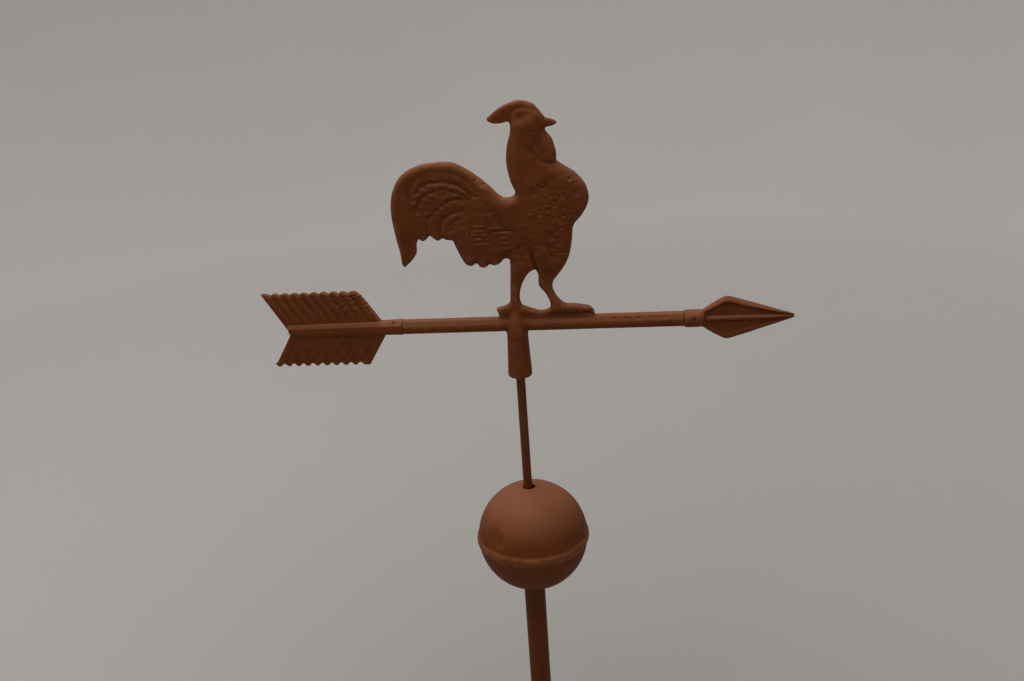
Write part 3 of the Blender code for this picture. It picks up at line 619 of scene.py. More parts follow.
def finish_piece(obj, body, finish, replaced, sharp=35):
    """Gives a piece its paint and shading, and says what it moves with and stands for."""
    obj.data.materials.clear()
    obj.data.materials.append(finish)
    obj.data.shade_smooth()
    if sharp:
        obj.data.set_sharp_from_angle(angle=math.radians(sharp))
    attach(obj, body)
    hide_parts(replaced)


# Lines in the plane of the cockerel


def smooth_run(points, step):
    """Points about a step apart on the smooth curve through the given ones, ends included."""
    points = np.array(points, float)
    padded = np.vstack([2 * points[0] - points[1], points, 2 * points[-1] - points[-2]])
    fine_run = []
    t = np.linspace(0, 1, 16, endpoint=False)[:, None]
    for a, b, c, d in zip(padded, padded[1:], padded[2:], padded[3:]):
        bend = 2 * a - 5 * b + 4 * c - d
        twist = 3 * b - a - 3 * c + d
        fine_run.append(b + ((c - a) * t + bend * t**2 + twist * t**3) / 2)
    fine_run = np.vstack([*fine_run, points[-1:]])
    length = np.append(0, np.cumsum(np.linalg.norm(np.diff(fine_run, axis=0), axis=1)))
    count = max(1, round(length[-1] / step))
    at = np.linspace(0, length[-1], count + 1)
    return np.column_stack([np.interp(at, length, column) for column in fine_run.T])


def outline_loop(stretches, step):
    runs = [smooth_run(np.array(points) * SHARE, step) for _, *points in stretches]
    return np.vstack([run[:-1] for run in runs])


def closed_below(loop):
    """The outer outline, with the ends of both feet taken down to the shaft's middle."""
    front = loop[0][0]
    back = OUTLINE[-1][-1][0] * SHARE
    count = round((front - back) / (2 * OUTLINE_STEP))
    floor = [(x, -SHAFT_WIDTH / 2) for x in np.linspace(back, front, count)]
    return np.vstack([loop, floor])


def nearest(points, loop, closed=True):
    """Distance from each point to a line of segments."""
    starts = loop if closed else loop[:-1]
    ends = np.roll(loop, -1, axis=0) if closed else loop[1:]
    way = ends - starts
    size = np.maximum((way**2).sum(axis=1), 1e-18)
    best = np.full(len(points), np.inf)
    for start, side, square in zip(starts, way, size):
        t = np.clip(((points - start) @ side) / square, 0, 1)
        best = np.minimum(best, ((points - start - t[:, None] * side) ** 2).sum(axis=1))
    return np.sqrt(best)


def beside_run(points, run):
    """How far each point is to the right of a line, and how far past its ends."""
    best = np.full(len(points), np.inf)
    right = np.zeros(len(points))
    past = np.zeros(len(points))
    for start, end in zip(run, run[1:]):
        length = math.dist(start, end)
        way = (end - start) / length
        off = points - start
        along = off @ way
        aside = off @ (way[1], -way[0])
        over = along - np.clip(along, 0, length)
        away = aside**2 + over**2
        nearer = away < best
        best[nearer] = away[nearer]
        right[nearer] = aside[nearer]
        past[nearer] = over[nearer]
    return right, past


def inside(points, loops):
    """Which points lie within the first loop and in none of the holes."""
    odd = np.zeros(len(points), bool)
    for loop in loops:
        for (x1, z1), (x2, z2) in zip(loop, np.roll(loop, -1, axis=0)):
            spans = (z1 > points[:, 1]) != (z2 > points[:, 1])
            if spans.any():
                cross = x1 + (points[:, 1] - z1) * (x2 - x1) / (z2 - z1 if z2 != z1 else 1)
                odd ^= spans & (points[:, 0] < cross)
    return odd


def beside(line, offset):
    """The line moved sideways by the offset."""
    way = np.gradient(line, axis=0)
    way /= np.linalg.norm(way, axis=1)[:, None]
    return line + offset * np.column_stack([-way[:, 1], way[:, 0]])


# The cockerel casting


def form_half(points):
    """Half thickness of the casting, blended between the forms."""
    reach = (FORM_REACH * SHARE) ** 2
    total = np.zeros(len(points))
    weight = np.zeros(len(points))
    for _, place, half in FORMS:
        near = 1 / (((points - np.array(place) * SHARE) ** 2).sum(axis=1) + reach) ** 3
        total += near * half * SHARE
        weight += near
    return total / weight


def half_thickness(points, outer, gap):
    """Half thickness: crowned from a thin edge up to each form, but square at the pad's ends. Below the
    toes the pad is no wider than the top of the shaft."""
    depth = np.minimum(nearest(points, outer, closed=False), nearest(points, gap))
    form = form_half(points)
    rise = faded(depth, CROWN * form)
    square = faded(PAD_TOP - points[:, 1], PAD_TOP)
    edge = EDGE_HALF + (PAD_EDGE_SHARE * form - EDGE_HALF) * square
    half = edge + (form - edge) * np.sqrt(1 - (1 - rise) ** 2)
    above = faded(points[:, 1] - TOE_LINE, TOE_STEP)
    pad = PAD_HALF - PAD_DRAFT * np.minimum(points[:, 1], PAD_TOP)
    return np.where(above < 1, np.minimum(half, pad + np.maximum(half - pad, 0) * above), half)


def figure():
    """The cockerel and the pad, without relief, as two crowned faces and a narrow edge."""
    outer = outline_loop(OUTLINE, OUTLINE_STEP)
    loops = [closed_below(outer), outline_loop(LEG_GAP, OUTLINE_STEP)]
    low = loops[0].min(axis=0)
    high = loops[0].max(axis=0)
    xs, zs = np.meshgrid(np.arange(low[0], high[0], GRID_STEP), np.arange(low[1], high[1], GRID_STEP))
    added = [(np.column_stack([xs.ravel(), zs.ravel()]), GRID_STEP / 2)]
    for inset in INSETS:
        added += [(beside(loop, inset), 0.8 * inset) for loop in loops]
    kept = [*loops]
    for points, from_edge in added:
        within = inside(points, loops)
        points = points[within]
        edge = np.minimum.reduce([nearest(points, loop) for loop in loops])
        kept.append(points[edge > from_edge])
    edges = []
    start = 0
    for loop in loops:
        count = len(loop)
        edges += [(start + i, start + (i + 1) % count) for i in range(count)]
        start += count
    flat, _, triangles, _, _, _ = delaunay_2d_cdt(np.vstack(kept).tolist(), edges, [], 0, 1e-7)
    flat = np.array(flat)
    triangles = np.array(triangles)
    triangles = triangles[inside(flat[triangles].mean(axis=1), loops)]
    half = half_thickness(flat, outer, loops[1])
    front = np.column_stack([flat[:, 0], -half, SHAFT_TOP + flat[:, 1]])
    count = len(flat)
    faces = [list(map(int, face)) for face in triangles]
    faces += [[int(i) + count for i in face[::-1]] for face in triangles]
    faces += [[a, b, b + count, a + count] for a, b in edges]
    return object_of("cockerel_casting", np.vstack([front, front * (1, -1, 1)]), faces)


def bar_section(x, z, width, flat, top=BAR_TOP_HALF_FLAT):
    """An eight-sided bar's section. Flat is the height of its front and back faces."""
    half = width / 2
    across = top * width
    return [
        (x, -half, z + flat / 2),
        (x, -half, z - flat / 2),
        (x, -across, z - half),
        (x, across, z - half),
        (x, half, z - flat / 2),
        (x, half, z + flat / 2),
        (x, across, z + half),
        (x, -across, z + half),
    ]


def hub_profile():
    """The hub, which runs up into the front of the shaft and pad in a long taper."""
    top = HUB_TOP_DIAMETER / 2
    end = HUB_END_DIAMETER / 2
    low = ARROW_Z - HUB_LENGTH
    under = ARROW_Z - SHAFT_WIDTH / 2
    profile = [(0, low)]
    profile += arc((end - HUB_ROUNDING, low + HUB_ROUNDING), HUB_ROUNDING, -90, 0, 5)
    profile += [
        (top, under - 2 * HUB_FILLET),
        (top + 0.1 * HUB_FILLET, under - HUB_FILLET),
        (top + 0.2 * HUB_FILLET, under),
        (0.97 * top, under + 0.3 * SHAFT_WIDTH),
        (0.88 * top, under + 0.7 * SHAFT_WIDTH),
        (0.74 * top, under + 1.1 * SHAFT_WIDTH),
        (0.6 * top, under + 1.5 * SHAFT_WIDTH),
        (0, under + 1.5 * SHAFT_WIDTH),
    ]
    return profile


def close_to(at, low, high, width):
    """Which points are near enough to a line's box to be changed by it."""
    return ((at > low - RELIEF_REACH * width) & (at < high + RELIEF_REACH * width)).all(axis=1)


def relief_at(points):
    """The height of the long lines, short strokes and ledges at (x, z) points of the cockerel."""
    lines = np.zeros(len(points))
    marks = np.zeros(len(points))
    ledges = np.zeros(len(points))
    at = points / SHARE
    for _, width, height, *places in CURVES:
        run = smooth_run(places, RUN_STEP)
        close = close_to(at, run.min(axis=0), run.max(axis=0), width)
        away = nearest(at[close], run, closed=False) / width
        lines[close] += height * np.exp(-(away**2))
    for width, height, *strokes in STROKES:
        for x1, z1, x2, z2 in strokes:
            ends = np.array([(x1, z1), (x2, z2)], float)
            close = close_to(at, ends.min(axis=0), ends.max(axis=0), width)
            length = math.dist(*ends)
            way = (ends[1] - ends[0]) / length
            off = at[close] - ends.mean(axis=0)
            along = off @ way / (length / 2 + 0.6 * width)
            across = (off @ (-way[1], way[0])) / width
            marks[close] += height * np.exp(-(along**4) - across**2)
    for _, width, height, fade, *edge in LEDGES:
        run = smooth_run(edge, RUN_STEP)
        close = close_to(at, run.min(axis=0), run.max(axis=0), fade)
        behind, beyond = beside_run(at[close], run)
        step = 0.5 + 0.5 * np.tanh(2 * behind / width)
        ledge = height * step * np.exp(-((behind / fade) ** 2)) * np.exp(-((beyond / (2 * width)) ** 2))
        ledges[close] += ledge
    return lines * SHARE, marks * SHARE, ledges * SHARE


def lumps_at(points):
    """Low uneven lumps, wider than high, where the body and thighs are feathered."""
    at = points[:, [0, 2]] / SHARE
    share = np.zeros(len(points))
    for place, reach in FEATHERED:
        off = ((at - (0, SHAFT_TOP / SHARE) - place) ** 2).sum(axis=1) / reach**2
        share = np.maximum(share, np.exp(-(off**2)))
    lumps = np.zeros(len(points))
    near = share > 0.02
    lumps[near] = rough(points[near] * LUMP_STRETCH, LUMP_SIZE, 21)
    return lumps * share * LUMP_HEIGHT


def dimples_at(points):
    """The depth of the shallow oval marks along the front of the shaft."""
    deep = np.zeros(len(points))
    for x in DIMPLES_X:
        across = (points[:, 0] - x) / DIMPLE_HALF_LENGTH
        up = (points[:, 2] - ARROW_Z - DIMPLE_RISE) / DIMPLE_HALF_HEIGHT
        deep += DIMPLE_DEPTH * np.exp(-(across**2) - up**2) * (points[:, 1] < 0)
    return deep


def soften(mesh, share, rounds):
    """Melts the surface where the share is above 0, most where it is 1."""
    mean = neighbours(mesh)
    points = points_of(mesh)
    for _ in range(rounds):
        points += share[:, None] * (mean(points) - points)
    set_points(mesh, points)


def hub_share(points):
    """Where the hub runs up into the shaft and pad: 1 there, and 0 from a few millimetres away."""
    side = HUB_TOP_DIAMETER / 2 + HUB_SOFT_ASIDE
    beside_hub = faded(side - np.abs(points[:, 0]), 4 * MM)
    above = faded(points[:, 2] - ARROW_Z + HUB_SOFT_BELOW, 4 * MM)
    below = faded(ARROW_Z + HUB_SOFT_ABOVE - points[:, 2], 6 * MM)
    facing = faded(np.abs(points[:, 1]) - HUB_SOFT_FACE, 2 * MM)
    return beside_hub * above * below * facing


def pin_turn(x, tilt):
    """Lays a lathe's axis across the arrow at x, tilted up at the front."""
    return Matrix.Translation((x, 0, ARROW_Z)) @ Matrix.Rotation(math.radians(90) - tilt, 4, "X")


def pin_hole(name, x, tilt):
    radius = PIN_DIAMETER / 2 + GAP
    reach = HEAD_SLEEVE_DIAMETER
    return cylinder(name, radius, -reach, reach, 32, pin_turn(x, tilt))


def cast_skin(obj, seed):
    """The slightly uneven skin of a sand casting."""
    points = points_of(obj.data)
    skin = sum(height * rough(points, size, seed + i) for i, (height, size) in enumerate(CAST_SKIN))
    set_points(obj.data, points + normals_of(obj.data) * skin[:, None])


def varied(points, swing, size, seed):
    return RELIEF_MEAN + swing * rough(points, size, seed)


def add_cockerel(finish):
    casting = figure()
    flat = SHAFT_FRONT_FLAT * SHAFT_WIDTH
    tail = SHAFT_TAIL_END - JOINT_OVERLAP
    head = SHAFT_HEAD_START + JOINT_OVERLAP
    shaft = loft("shaft", [bar_section(x, ARROW_Z, SHAFT_WIDTH, flat) for x in (tail, head)])
    combine(casting, shaft, "UNION")
    for turn in (along_x(tail), along_x(head, -1)):
        tenon = cylinder("tenon", TENON_DIAMETER / 2, -TENON_LENGTH, SHAFT_WIDTH, 32, turn)
        combine(casting, tenon, "UNION")
    combine(casting, lathe("hub", hub_profile(), 64), "UNION")
    bore = ROD_DIAMETER / 2 + BORE_CLEARANCE
    low = ARROW_Z - HUB_LENGTH - MM
    combine(casting, cylinder("bore", bore, low, BORE_TOP_Z, 48), "DIFFERENCE")
    combine(casting, pin_hole("tail_hole", TAIL_PIN_X, FLETCH_PIN_TILT), "DIFFERENCE")
    combine(casting, pin_hole("head_hole", HEAD_PIN_X, HEAD_PIN_TILT), "DIFFERENCE")
    remesh(casting, COCK_VOXEL)
    smooth(casting.data, 2)
    points = points_of(casting.data)
    normals = normals_of(casting.data)
    sideways = faded(np.abs(normals[:, 1]) - SIDE_FROM, SIDE_RANGE)
    lines, marks, ledges = relief_at(points[:, [0, 2]] - (0, SHAFT_TOP))
    marks *= varied(points, *MARKS_VARY)
    lines *= varied(points, *LINES_VARY)
    height = (lines + marks + ledges + lumps_at(points)) * sideways
    height -= dimples_at(points) * sideways
    set_points(casting.data, points + normals * height[:, None])
    soften(casting.data, SOFTENING * hub_share(points), HUB_SOFT_ROUNDS)
    cast_skin(casting, 1)
    points = points_of(casting.data)
    points[:, 2] = np.minimum(points[:, 2], CAD_BOX[1][2])
    set_points(casting.data, points)
    mark_shade_and_wear(casting.data, CAST_SHADE_AND_WEAR_ROUNDS)
    finish_piece(casting, "vane", finish, "cockerel_and_shaft", sharp=0)


# The fletching casting


def rib_height(t):
    """How far a rib stands up at a share of its width, from 0 in the groove to 1."""
    return abs(math.sin(math.pi * t)) ** RIB_ROUNDNESS


def fletch_vane(name, side, shift, depth):
    """One vane, above (side 1) or below (side -1) the quill: a sheared plate with slanting ribs."""
    per_rib = VANE_STEPS_A_RIB
    deep = 1 if side > 0 else LOWER_SCALLOP
    shares = np.linspace(0, 1, 24)
    root = SHAFT_TAIL_END - FLETCH_SLEEVE_LENGTH + shift
    sections = []
    for i in range(per_rib * FLETCH_RIBS + 1):
        rib = rib_height(i / per_rib)
        at_end = i < per_rib / 2 if side > 0 else i > per_rib * (FLETCH_RIBS - 0.5)
        x = root - FLETCH_LENGTH * (1 - i / (per_rib * FLETCH_RIBS))
        ring = []
        for share in shares:
            thick = FLETCH_ROOT_THICKNESS + (FLETCH_EDGE_THICKNESS - FLETCH_ROOT_THICKNESS) * share
            half = thick / 2 + depth * (rib - RIB_MIDDLE) * min(1, 2 * share)
            reach = FLETCH_HALF_SPAN * share
            if share > TOOTH_FROM:
                past = (share - TOOTH_FROM) / TOOTH_REACH
                tooth = 1 if at_end else rib if side > 0 else rib**LOWER_TOOTH
                reach -= FLETCH_SCALLOP * deep * (1 - tooth) * past
                half *= 1 - TOOTH_THINNING * past**2
            ring.append((x - FLETCH_SWEEP * share, -half, ARROW_Z + side * reach))
        sections.append(ring + [(px, -py, pz) for px, py, pz in reversed(ring)])
    return loft(name, sections)


def nicks_at(points):
    """Small uneven nicks and lumps along the upper vane's ribs, most of them near the sleeve."""
    low = 0.3 * FLETCH_HALF_SPAN
    up = faded(points[:, 2] - ARROW_Z - low, low)
    back = SHAFT_TAIL_END - FLETCH_SLEEVE_LENGTH - FLETCH_LENGTH - FLETCH_SWEEP
    along = np.clip((points[:, 0] - back) / FLETCH_LENGTH - 0.15, 0.2, 1)
    lumps = np.clip(1.6 * rough(points * NICK_STRETCH, NICK_SIZE, 41), -1, 1)
    return NICK_HEIGHT * up * along * lumps


def add_fletching(finish):
    start = SHAFT_TAIL_END - FLETCH_SLEEVE_LENGTH
    width = FLETCH_SLEEVE_WIDTH
    stations = [
        (start - FLETCH_LENGTH + QUILL_SETBACK, QUILL_END_WIDTH, QUILL_TOP_SHARE),
        (start - 6 * MM, width - 1.0 * MM, QUILL_TOP_SHARE),
        (start, width - 0.8 * MM, BAR_TOP_HALF_FLAT),
        (SHAFT_TAIL_END - 1.0 * MM, width, BAR_TOP_HALF_FLAT),
        (SHAFT_TAIL_END, width - 1.0 * MM, BAR_TOP_HALF_FLAT),
    ]
    sections = [bar_section(x, ARROW_Z, w, QUILL_FRONT_FLAT * w, top) for x, w, top in stations]
    sections[0] = [(x + QUILL_SLANT * (ARROW_Z - z), y, z) for x, y, z in sections[0]]
    casting = loft("fletching_casting", sections)
    combine(casting, fletch_vane("upper_vane", 1, FLETCH_UPPER_SHIFT, UPPER_RIB_DEPTH), "UNION")
    combine(casting, fletch_vane("lower_vane", -1, FLETCH_LOWER_SHIFT, LOWER_RIB_DEPTH), "UNION")
    radius = TENON_DIAMETER / 2 + GAP
    depth = TENON_LENGTH + GAP
    socket = cylinder("socket", radius, -depth, SHAFT_WIDTH, 32, along_x(SHAFT_TAIL_END))
    combine(casting, socket, "DIFFERENCE")
    combine(casting, pin_hole("hole", TAIL_PIN_X, FLETCH_PIN_TILT), "DIFFERENCE")
    remesh(casting, CAST_VOXEL)
    smooth(casting.data, 2)
    points = points_of(casting.data)
    set_points(casting.data, points + normals_of(casting.data) * nicks_at(points)[:, None])
    cast_skin(casting, 3)
    mark_shade_and_wear(casting.data, CAST_SHADE_AND_WEAR_ROUNDS)
    finish_piece(casting, "vane", finish, "fletching", sharp=0)


# The arrowhead casting


def head_half_width(share):
    """Half the blade's height at a share of its length: a swelling shoulder, then a straight taper."""
    shoulder = HEAD_SHOULDER / HEAD_LENGTH
    start = SHAFT_WIDTH / 2 + MM
    wide = (HEAD_SPAN + HEAD_CORNER) / 2
    t = share / shoulder
    rise = start + (wide - start) * t * (1.12 - 0.12 * t)
    t = (share - shoulder) / (1 - shoulder)
    fall = wide + (HEAD_TIP_HALF - wide) * t
    bend = HEAD_CORNER**2
    return (rise + fall - math.sqrt((rise - fall) ** 2 + bend)) / 2


def head_blade():
    """The blade: a raised rim, sunk panels and a rib down the middle, on both sides."""
    start = SHAFT_HEAD_START + HEAD_SLEEVE_LENGTH
    length = HEAD_LENGTH - HEAD_TIP_SETBACK
    sections = []
    for share in np.linspace(0, 1, 90):
        wide = head_half_width(share)
        fade = min(1, 0.35 + (1 - share) * 2.5)
        rim = min(HEAD_RIM_WIDTH, 0.3 * wide)
        rib = min(HEAD_RIB_WIDTH / 2, 0.3 * wide)
        filled = max(0, 1 - share / HEAD_ROOT_FILLET)
        panel = (HEAD_PANEL_THICKNESS + (HEAD_RIM_THICKNESS - HEAD_PANEL_THICKNESS) * filled) * fade
        upper = [
            (wide, HEAD_EDGE_THICKNESS),
            (wide - rim * 0.35, HEAD_RIM_THICKNESS * fade * 0.72),
            (wide - rim * 0.70, HEAD_RIM_THICKNESS * fade),
            (wide - rim * 0.90, HEAD_RIM_THICKNESS * fade * 0.95),
            (wide - rim * 1.25, panel),
            (rib * 0.95, panel),
            (rib * 0.45, HEAD_RIB_THICKNESS * fade * 0.9),
            (rib * 0.15, HEAD_RIB_THICKNESS * fade),
        ]
        lower = [(-z, panel + (thick - panel) * (LOWER_RIM if z > 2 * rib else 1)) for z, thick in upper[1:]]
        rows = upper + lower[::-1] + [(-wide, HEAD_EDGE_THICKNESS)]
        ring = [(start + length * share, -thick / 2, ARROW_Z + z) for z, thick in rows]
        sections.append(ring + [(px, -py, pz) for px, py, pz in reversed(ring)])
    return loft("blade", sections)


def add_arrowhead(finish):
    radius = HEAD_SLEEVE_DIAMETER / 2
    length = HEAD_SLEEVE_LENGTH
    bend = HEAD_SLEEVE_ROUNDING
    profile = [(0, 0)]
    profile += arc((radius - bend, bend), bend, -90, 0, 6)
    profile += [(radius, length - MM), (radius - 1.5 * MM, length + 2 * MM), (0, length + 5 * MM)]
    turn = along_x(SHAFT_HEAD_START)
    casting = lathe("arrowhead_casting", profile, 64, turn)
    combine(casting, head_blade(), "UNION")
    hole = TENON_DIAMETER / 2 + GAP
    depth = TENON_LENGTH + GAP
    combine(casting, cylinder("socket", hole, -SHAFT_WIDTH, depth, 32, turn), "DIFFERENCE")
    combine(casting, pin_hole("hole", HEAD_PIN_X, HEAD_PIN_TILT), "DIFFERENCE")
    remesh(casting, CAST_VOXEL)
    smooth(casting.data, 2)
    points = points_of(casting.data)
    root = SHAFT_HEAD_START + HEAD_SLEEVE_LENGTH + 1.5 * MM
    share = np.clip(1.5 - np.abs(points[:, 0] - root) / HEAD_SOFT_REACH, 0, 1)
    soften(casting.data, SOFTENING * share, HEAD_SOFT_ROUNDS)
    points = points_of(casting.data)
    lumps = HEAD_LUMP_HEIGHT * rough(points * HEAD_LUMP_STRETCH, HEAD_LUMP_SIZE, 45) * (points[:, 0] > root)
    set_points(casting.data, points + normals_of(casting.data) * lumps[:, None])
    cast_skin(casting, 5)
    mark_shade_and_wear(casting.data, CAST_SHADE_AND_WEAR_ROUNDS)
    finish_piece(casting, "vane", finish, "arrowhead", sharp=0)


# Pins, mast, rod and ball


def add_pin(name, x, tilt, width, finish, replaced):
    """A pin with slightly dubbed ends."""
    reach = width / 2 - PIN_SETBACK
    radius = PIN_DIAMETER / 2
    dub = 0.3 * MM
    profile = [(0, -reach), (radius - dub, -reach), (radius, dub - reach)]
    profile += [(radius, reach - dub), (radius - dub, reach), (0, reach)]
    pin = lathe(name, profile, 32, pin_turn(x, tilt))
    mark_shade_and_wear(pin.data, 1)
    finish_piece(pin, "vane", finish, replaced)


def add_bar(name, profile, step, seed, finish, replaced):
    """A drawn bar, very slightly uneven."""
    bar = lathe(name, fine(profile, step), ROUND_FACETS)
    points = points_of(bar.data)
    turned = (np.hypot(points[:, 0], points[:, 1]) > BAR_SKIN_FROM) & (points[:, 2] > MAST_CHAMFER)
    skin = BAR_SKIN_HEIGHT * rough(points, BAR_SKIN_SIZE, seed) * turned
    set_points(bar.data, points + normals_of(bar.data) * skin[:, None])
    mark_shade_and_wear(bar.data, 1)
    finish_piece(bar, "mast", finish, replaced)


def add_mast(finish):
    radius = MAST_DIAMETER / 2
    bore = ROD_DIAMETER / 2 + GAP
    top = MAST_LENGTH
    floor = top - ROD_DEPTH_IN_MAST
    profile = [(0, 0), (radius, 0), (radius, top - MAST_CHAMFER), (radius - MAST_CHAMFER, top)]
    profile += [(bore, top), (bore, floor), (0, floor)]
    add_bar("mast_bar", profile, 3 * MM, 7, finish, "mast")


def add_rod(finish):
    radius = ROD_DIAMETER / 2
    low = MAST_LENGTH - ROD_DEPTH_IN_MAST + GAP
    high = BORE_TOP_Z - GAP
    chamfer = ROD_TIP_CHAMFER
    profile = [(0, low), (radius, low), (radius, high - chamfer), (radius - chamfer, high), (0, high)]
    add_bar("rod_bar", profile, 2 * MM, 8, finish, "spindle_rod")


def angle_of_hole(radius, hole):
    return math.degrees(math.acos(hole / radius))


def dented(points, centre):
    """The shallow dent above the bead at the front left, and the spun shell's slight unevenness."""
    away = points - centre
    way = away / np.linalg.norm(away, axis=1)[:, None]
    deep = np.zeros(len(points))
    for direction, size, depth in DENTS:
        direction = np.array(direction) / np.linalg.norm(direction)
        off = np.degrees(np.arccos(np.clip(way @ direction, -1, 1))) / size
        deep += depth * np.exp(-(off**4))
    uneven = BALL_SKIN_HEIGHT * rough(points, BALL_SKIN_SIZE, 11)
    return points + way * (uneven - deep)[:, None]


def add_ball(finish):
    """Two thin shells. The upper one steps out over the lower one's rim and makes the bead."""
    outer = BALL_RADIUS * BALL_FIT
    inner = outer - BALL_WALL
    half = BEAD_HEIGHT / 2
    rim = half - BALL_WALL - GAP
    skirt_in = outer + GAP
    flare = math.asin((half + BEAD_FLARE) / outer)
    upper = arc((0, 0), outer, angle_of_hole(outer, TOP_HOLE_RADIUS), math.degrees(flare), 40)
    upper += [(outer + out * MM, half - down * MM) for out, down in BEAD_ROUND]
    upper += [
        (skirt_in, -half),
        (skirt_in, half - BALL_WALL),
        (inner, half - BALL_WALL),
    ]
    start = math.degrees(math.asin(half / inner))
    upper += arc((0, 0), inner, start, angle_of_hole(inner, TOP_HOLE_RADIUS), 30)
    rim_out = math.degrees(math.asin(rim / outer))
    rim_in = math.degrees(math.asin(rim / inner))
    lower = arc((0, 0), outer, rim_out, -angle_of_hole(outer, HOLE_RADIUS), 44)
    lower += arc((0, 0), inner, -angle_of_hole(inner, HOLE_RADIUS), rim_in, 30)
    pose = Matrix.Translation((BALL_OFFSET, 0, BALL_CENTRE_Z)) @ Matrix.Rotation(-BALL_LEAN, 4, "X")
    centre = np.array((BALL_OFFSET, 0, BALL_CENTRE_Z))
    for name, profile, replaced in (
        ("ball_top_shell", upper, "ball_upper_half"),
        ("ball_bottom_shell", lower, "ball_lower_half"),
    ):
        shell = lathe(name, profile, BALL_FACETS)
        points = points_of(shell.data)
        aside = np.hypot(points[:, 0], points[:, 1]) / TOP_HOLE_REACH
        near_hole = np.exp(-(aside**2)) * (points[:, 2] > 0)
        points[:, :2] += near_hole[:, None] * TOP_HOLE_SHIFT
        set_points(shell.data, points)
        out = np.linalg.norm(points, axis=1) - outer
        # Mask of the bead, which gets a painted highlight through the lighter edge colour.
        bead = np.clip(out / (0.5 * MM), 0, 1) * (np.abs(points[:, 2]) < BEAD_HEIGHT)
        shell.data.transform(pose)
        set_points(shell.data, dented(points_of(shell.data), centre))
        mark_shade_and_wear(shell.data, 1, BEAD_HIGHLIGHT * bead)
        finish_piece(shell, "mast", finish, replaced, sharp=50)


# Paint


def make_node(tree, kind, inputs=None, **settings):
    """A node, with its inputs linked to sockets or set to values."""
    made = tree.nodes.new(kind)
    for name, value in settings.items():
        setattr(made, name, value)
    for socket, source in (inputs or {}).items():
        if isinstance(source, bpy.types.NodeSocket):
            tree.links.new(source, made.inputs[socket])
        else:
            made.inputs[socket].default_value = source
    return made


def noise_value(tree, place, scale, detail, roughness):
    inputs = {"Vector": place, "Scale": scale, "Detail": detail, "Roughness": roughness}
    return make_node(tree, "ShaderNodeTexNoise", inputs).outputs["Fac"]


def ranged(tree, value, low, high, to_low=0.0, to_high=1.0):
    """The value taken from one range to another, and held within it."""
    inputs = {"Value": value, "From Min": low, "From Max": high, "To Min": to_low, "To Max": to_high}
    return make_node(tree, "ShaderNodeMapRange", inputs).outputs["Result"]


def times(tree, a, b):
    return make_node(tree, "ShaderNodeMath", {0: a, 1: b}, operation="MULTIPLY").outputs[0]


def mixed(tree, share, a, b):
    """Colour a, going over to colour b as the share rises."""
    a, b = (c if isinstance(c, bpy.types.NodeSocket) else (*c, 1.0) for c in (a, b))
    return make_node(tree, "ShaderNodeMix", {0: share, 6: a, 7: b}, data_type="RGBA").outputs[2]


def paint(name, base, dark, light, worn_and_lit, dust_and_sheen, dust_and_sheen_share, dust_and_sheen_slopes, grain, roughness):
    """Matt brown paint over metal: mottled, with painted shade in its hollows, edges that are scuffed and
    carry a painted highlight, and dusty tops with a painted sheen.
    """
    made = bpy.data.materials.new(name)
    made.use_nodes = True
    tree = made.node_tree
    shader = tree.nodes["Principled BSDF"]
    place = make_node(tree, "ShaderNodeTexCoord").outputs["Object"]
    geometry = make_node(tree, "ShaderNodeNewGeometry")
    shade_and_wear = make_node(tree, "ShaderNodeAttribute", attribute_name="shade_and_wear").outputs["Fac"]
    broad = noise_value(tree, place, *BROAD_NOISE)
    patchy = noise_value(tree, place, *PATCHY_NOISE)
    speck = noise_value(tree, place, *SPECK_NOISE)
    fine_grain = noise_value(tree, place, *GRAIN_NOISE)
    colour = mixed(tree, ranged(tree, broad, 0.35, 0.65), dark, base)
    colour = mixed(tree, ranged(tree, patchy, 0.45, 0.72, 0.0, 0.55), colour, light)
    # Painted shade: the hollows are darkened towards the dark tone.
    hollow_shade = ranged(tree, shade_and_wear, 0.5, 0.12)
    colour = mixed(tree, times(tree, hollow_shade, HOLLOW_SHADE_SHARE), colour, tuple(HOLLOW_SHADE_TONE * c for c in dark))
    # Raised edges go towards the lighter edge colour: partly scuffs and partly a painted highlight.
    rubbed_and_lit = times(tree, ranged(tree, shade_and_wear, 0.6, 0.95), ranged(tree, patchy, 0.35, 0.62, 0.15, 1.0))
    colour = mixed(tree, times(tree, rubbed_and_lit, RUBBED_AND_LIT_SHARE), colour, worn_and_lit)
    # Top-facing surfaces get a lighter, greyer tone: partly dust and partly a painted sheen of the light
    # from above.
    up = make_node(tree, "ShaderNodeSeparateXYZ", {0: geometry.outputs["Normal"]}).outputs["Z"]
    dust_and_sheen_mask = times(tree, ranged(tree, up, *dust_and_sheen_slopes), ranged(tree, broad, 0.3, 0.6, 0.75, 1.0))
    colour = mixed(tree, times(tree, dust_and_sheen_mask, dust_and_sheen_share), colour, dust_and_sheen)
    colour = mixed(tree, ranged(tree, speck, 0.62, 0.75, 0.0, 0.25), colour, worn_and_lit)
    tree.links.new(colour, shader.inputs["Base Color"])
    dull = ranged(tree, patchy, 0.3, 0.7, roughness - 0.07, roughness + 0.08)
    tree.links.new(dull, shader.inputs["Roughness"])
    shader.inputs["Specular IOR Level"].default_value = PAINT_GLOSS
    inputs = {"Strength": 0.35, "Distance": grain, "Height": fine_grain}
    normal = make_node(tree, "ShaderNodeBump", inputs).outputs["Normal"]
    inputs = {"Strength": 0.3, "Distance": 0.4 * grain, "Height": speck, "Normal": normal}
    normal = make_node(tree, "ShaderNodeBump", inputs).outputs["Normal"]
    tree.links.new(normal, shader.inputs["Normal"])
    return made


# Studio


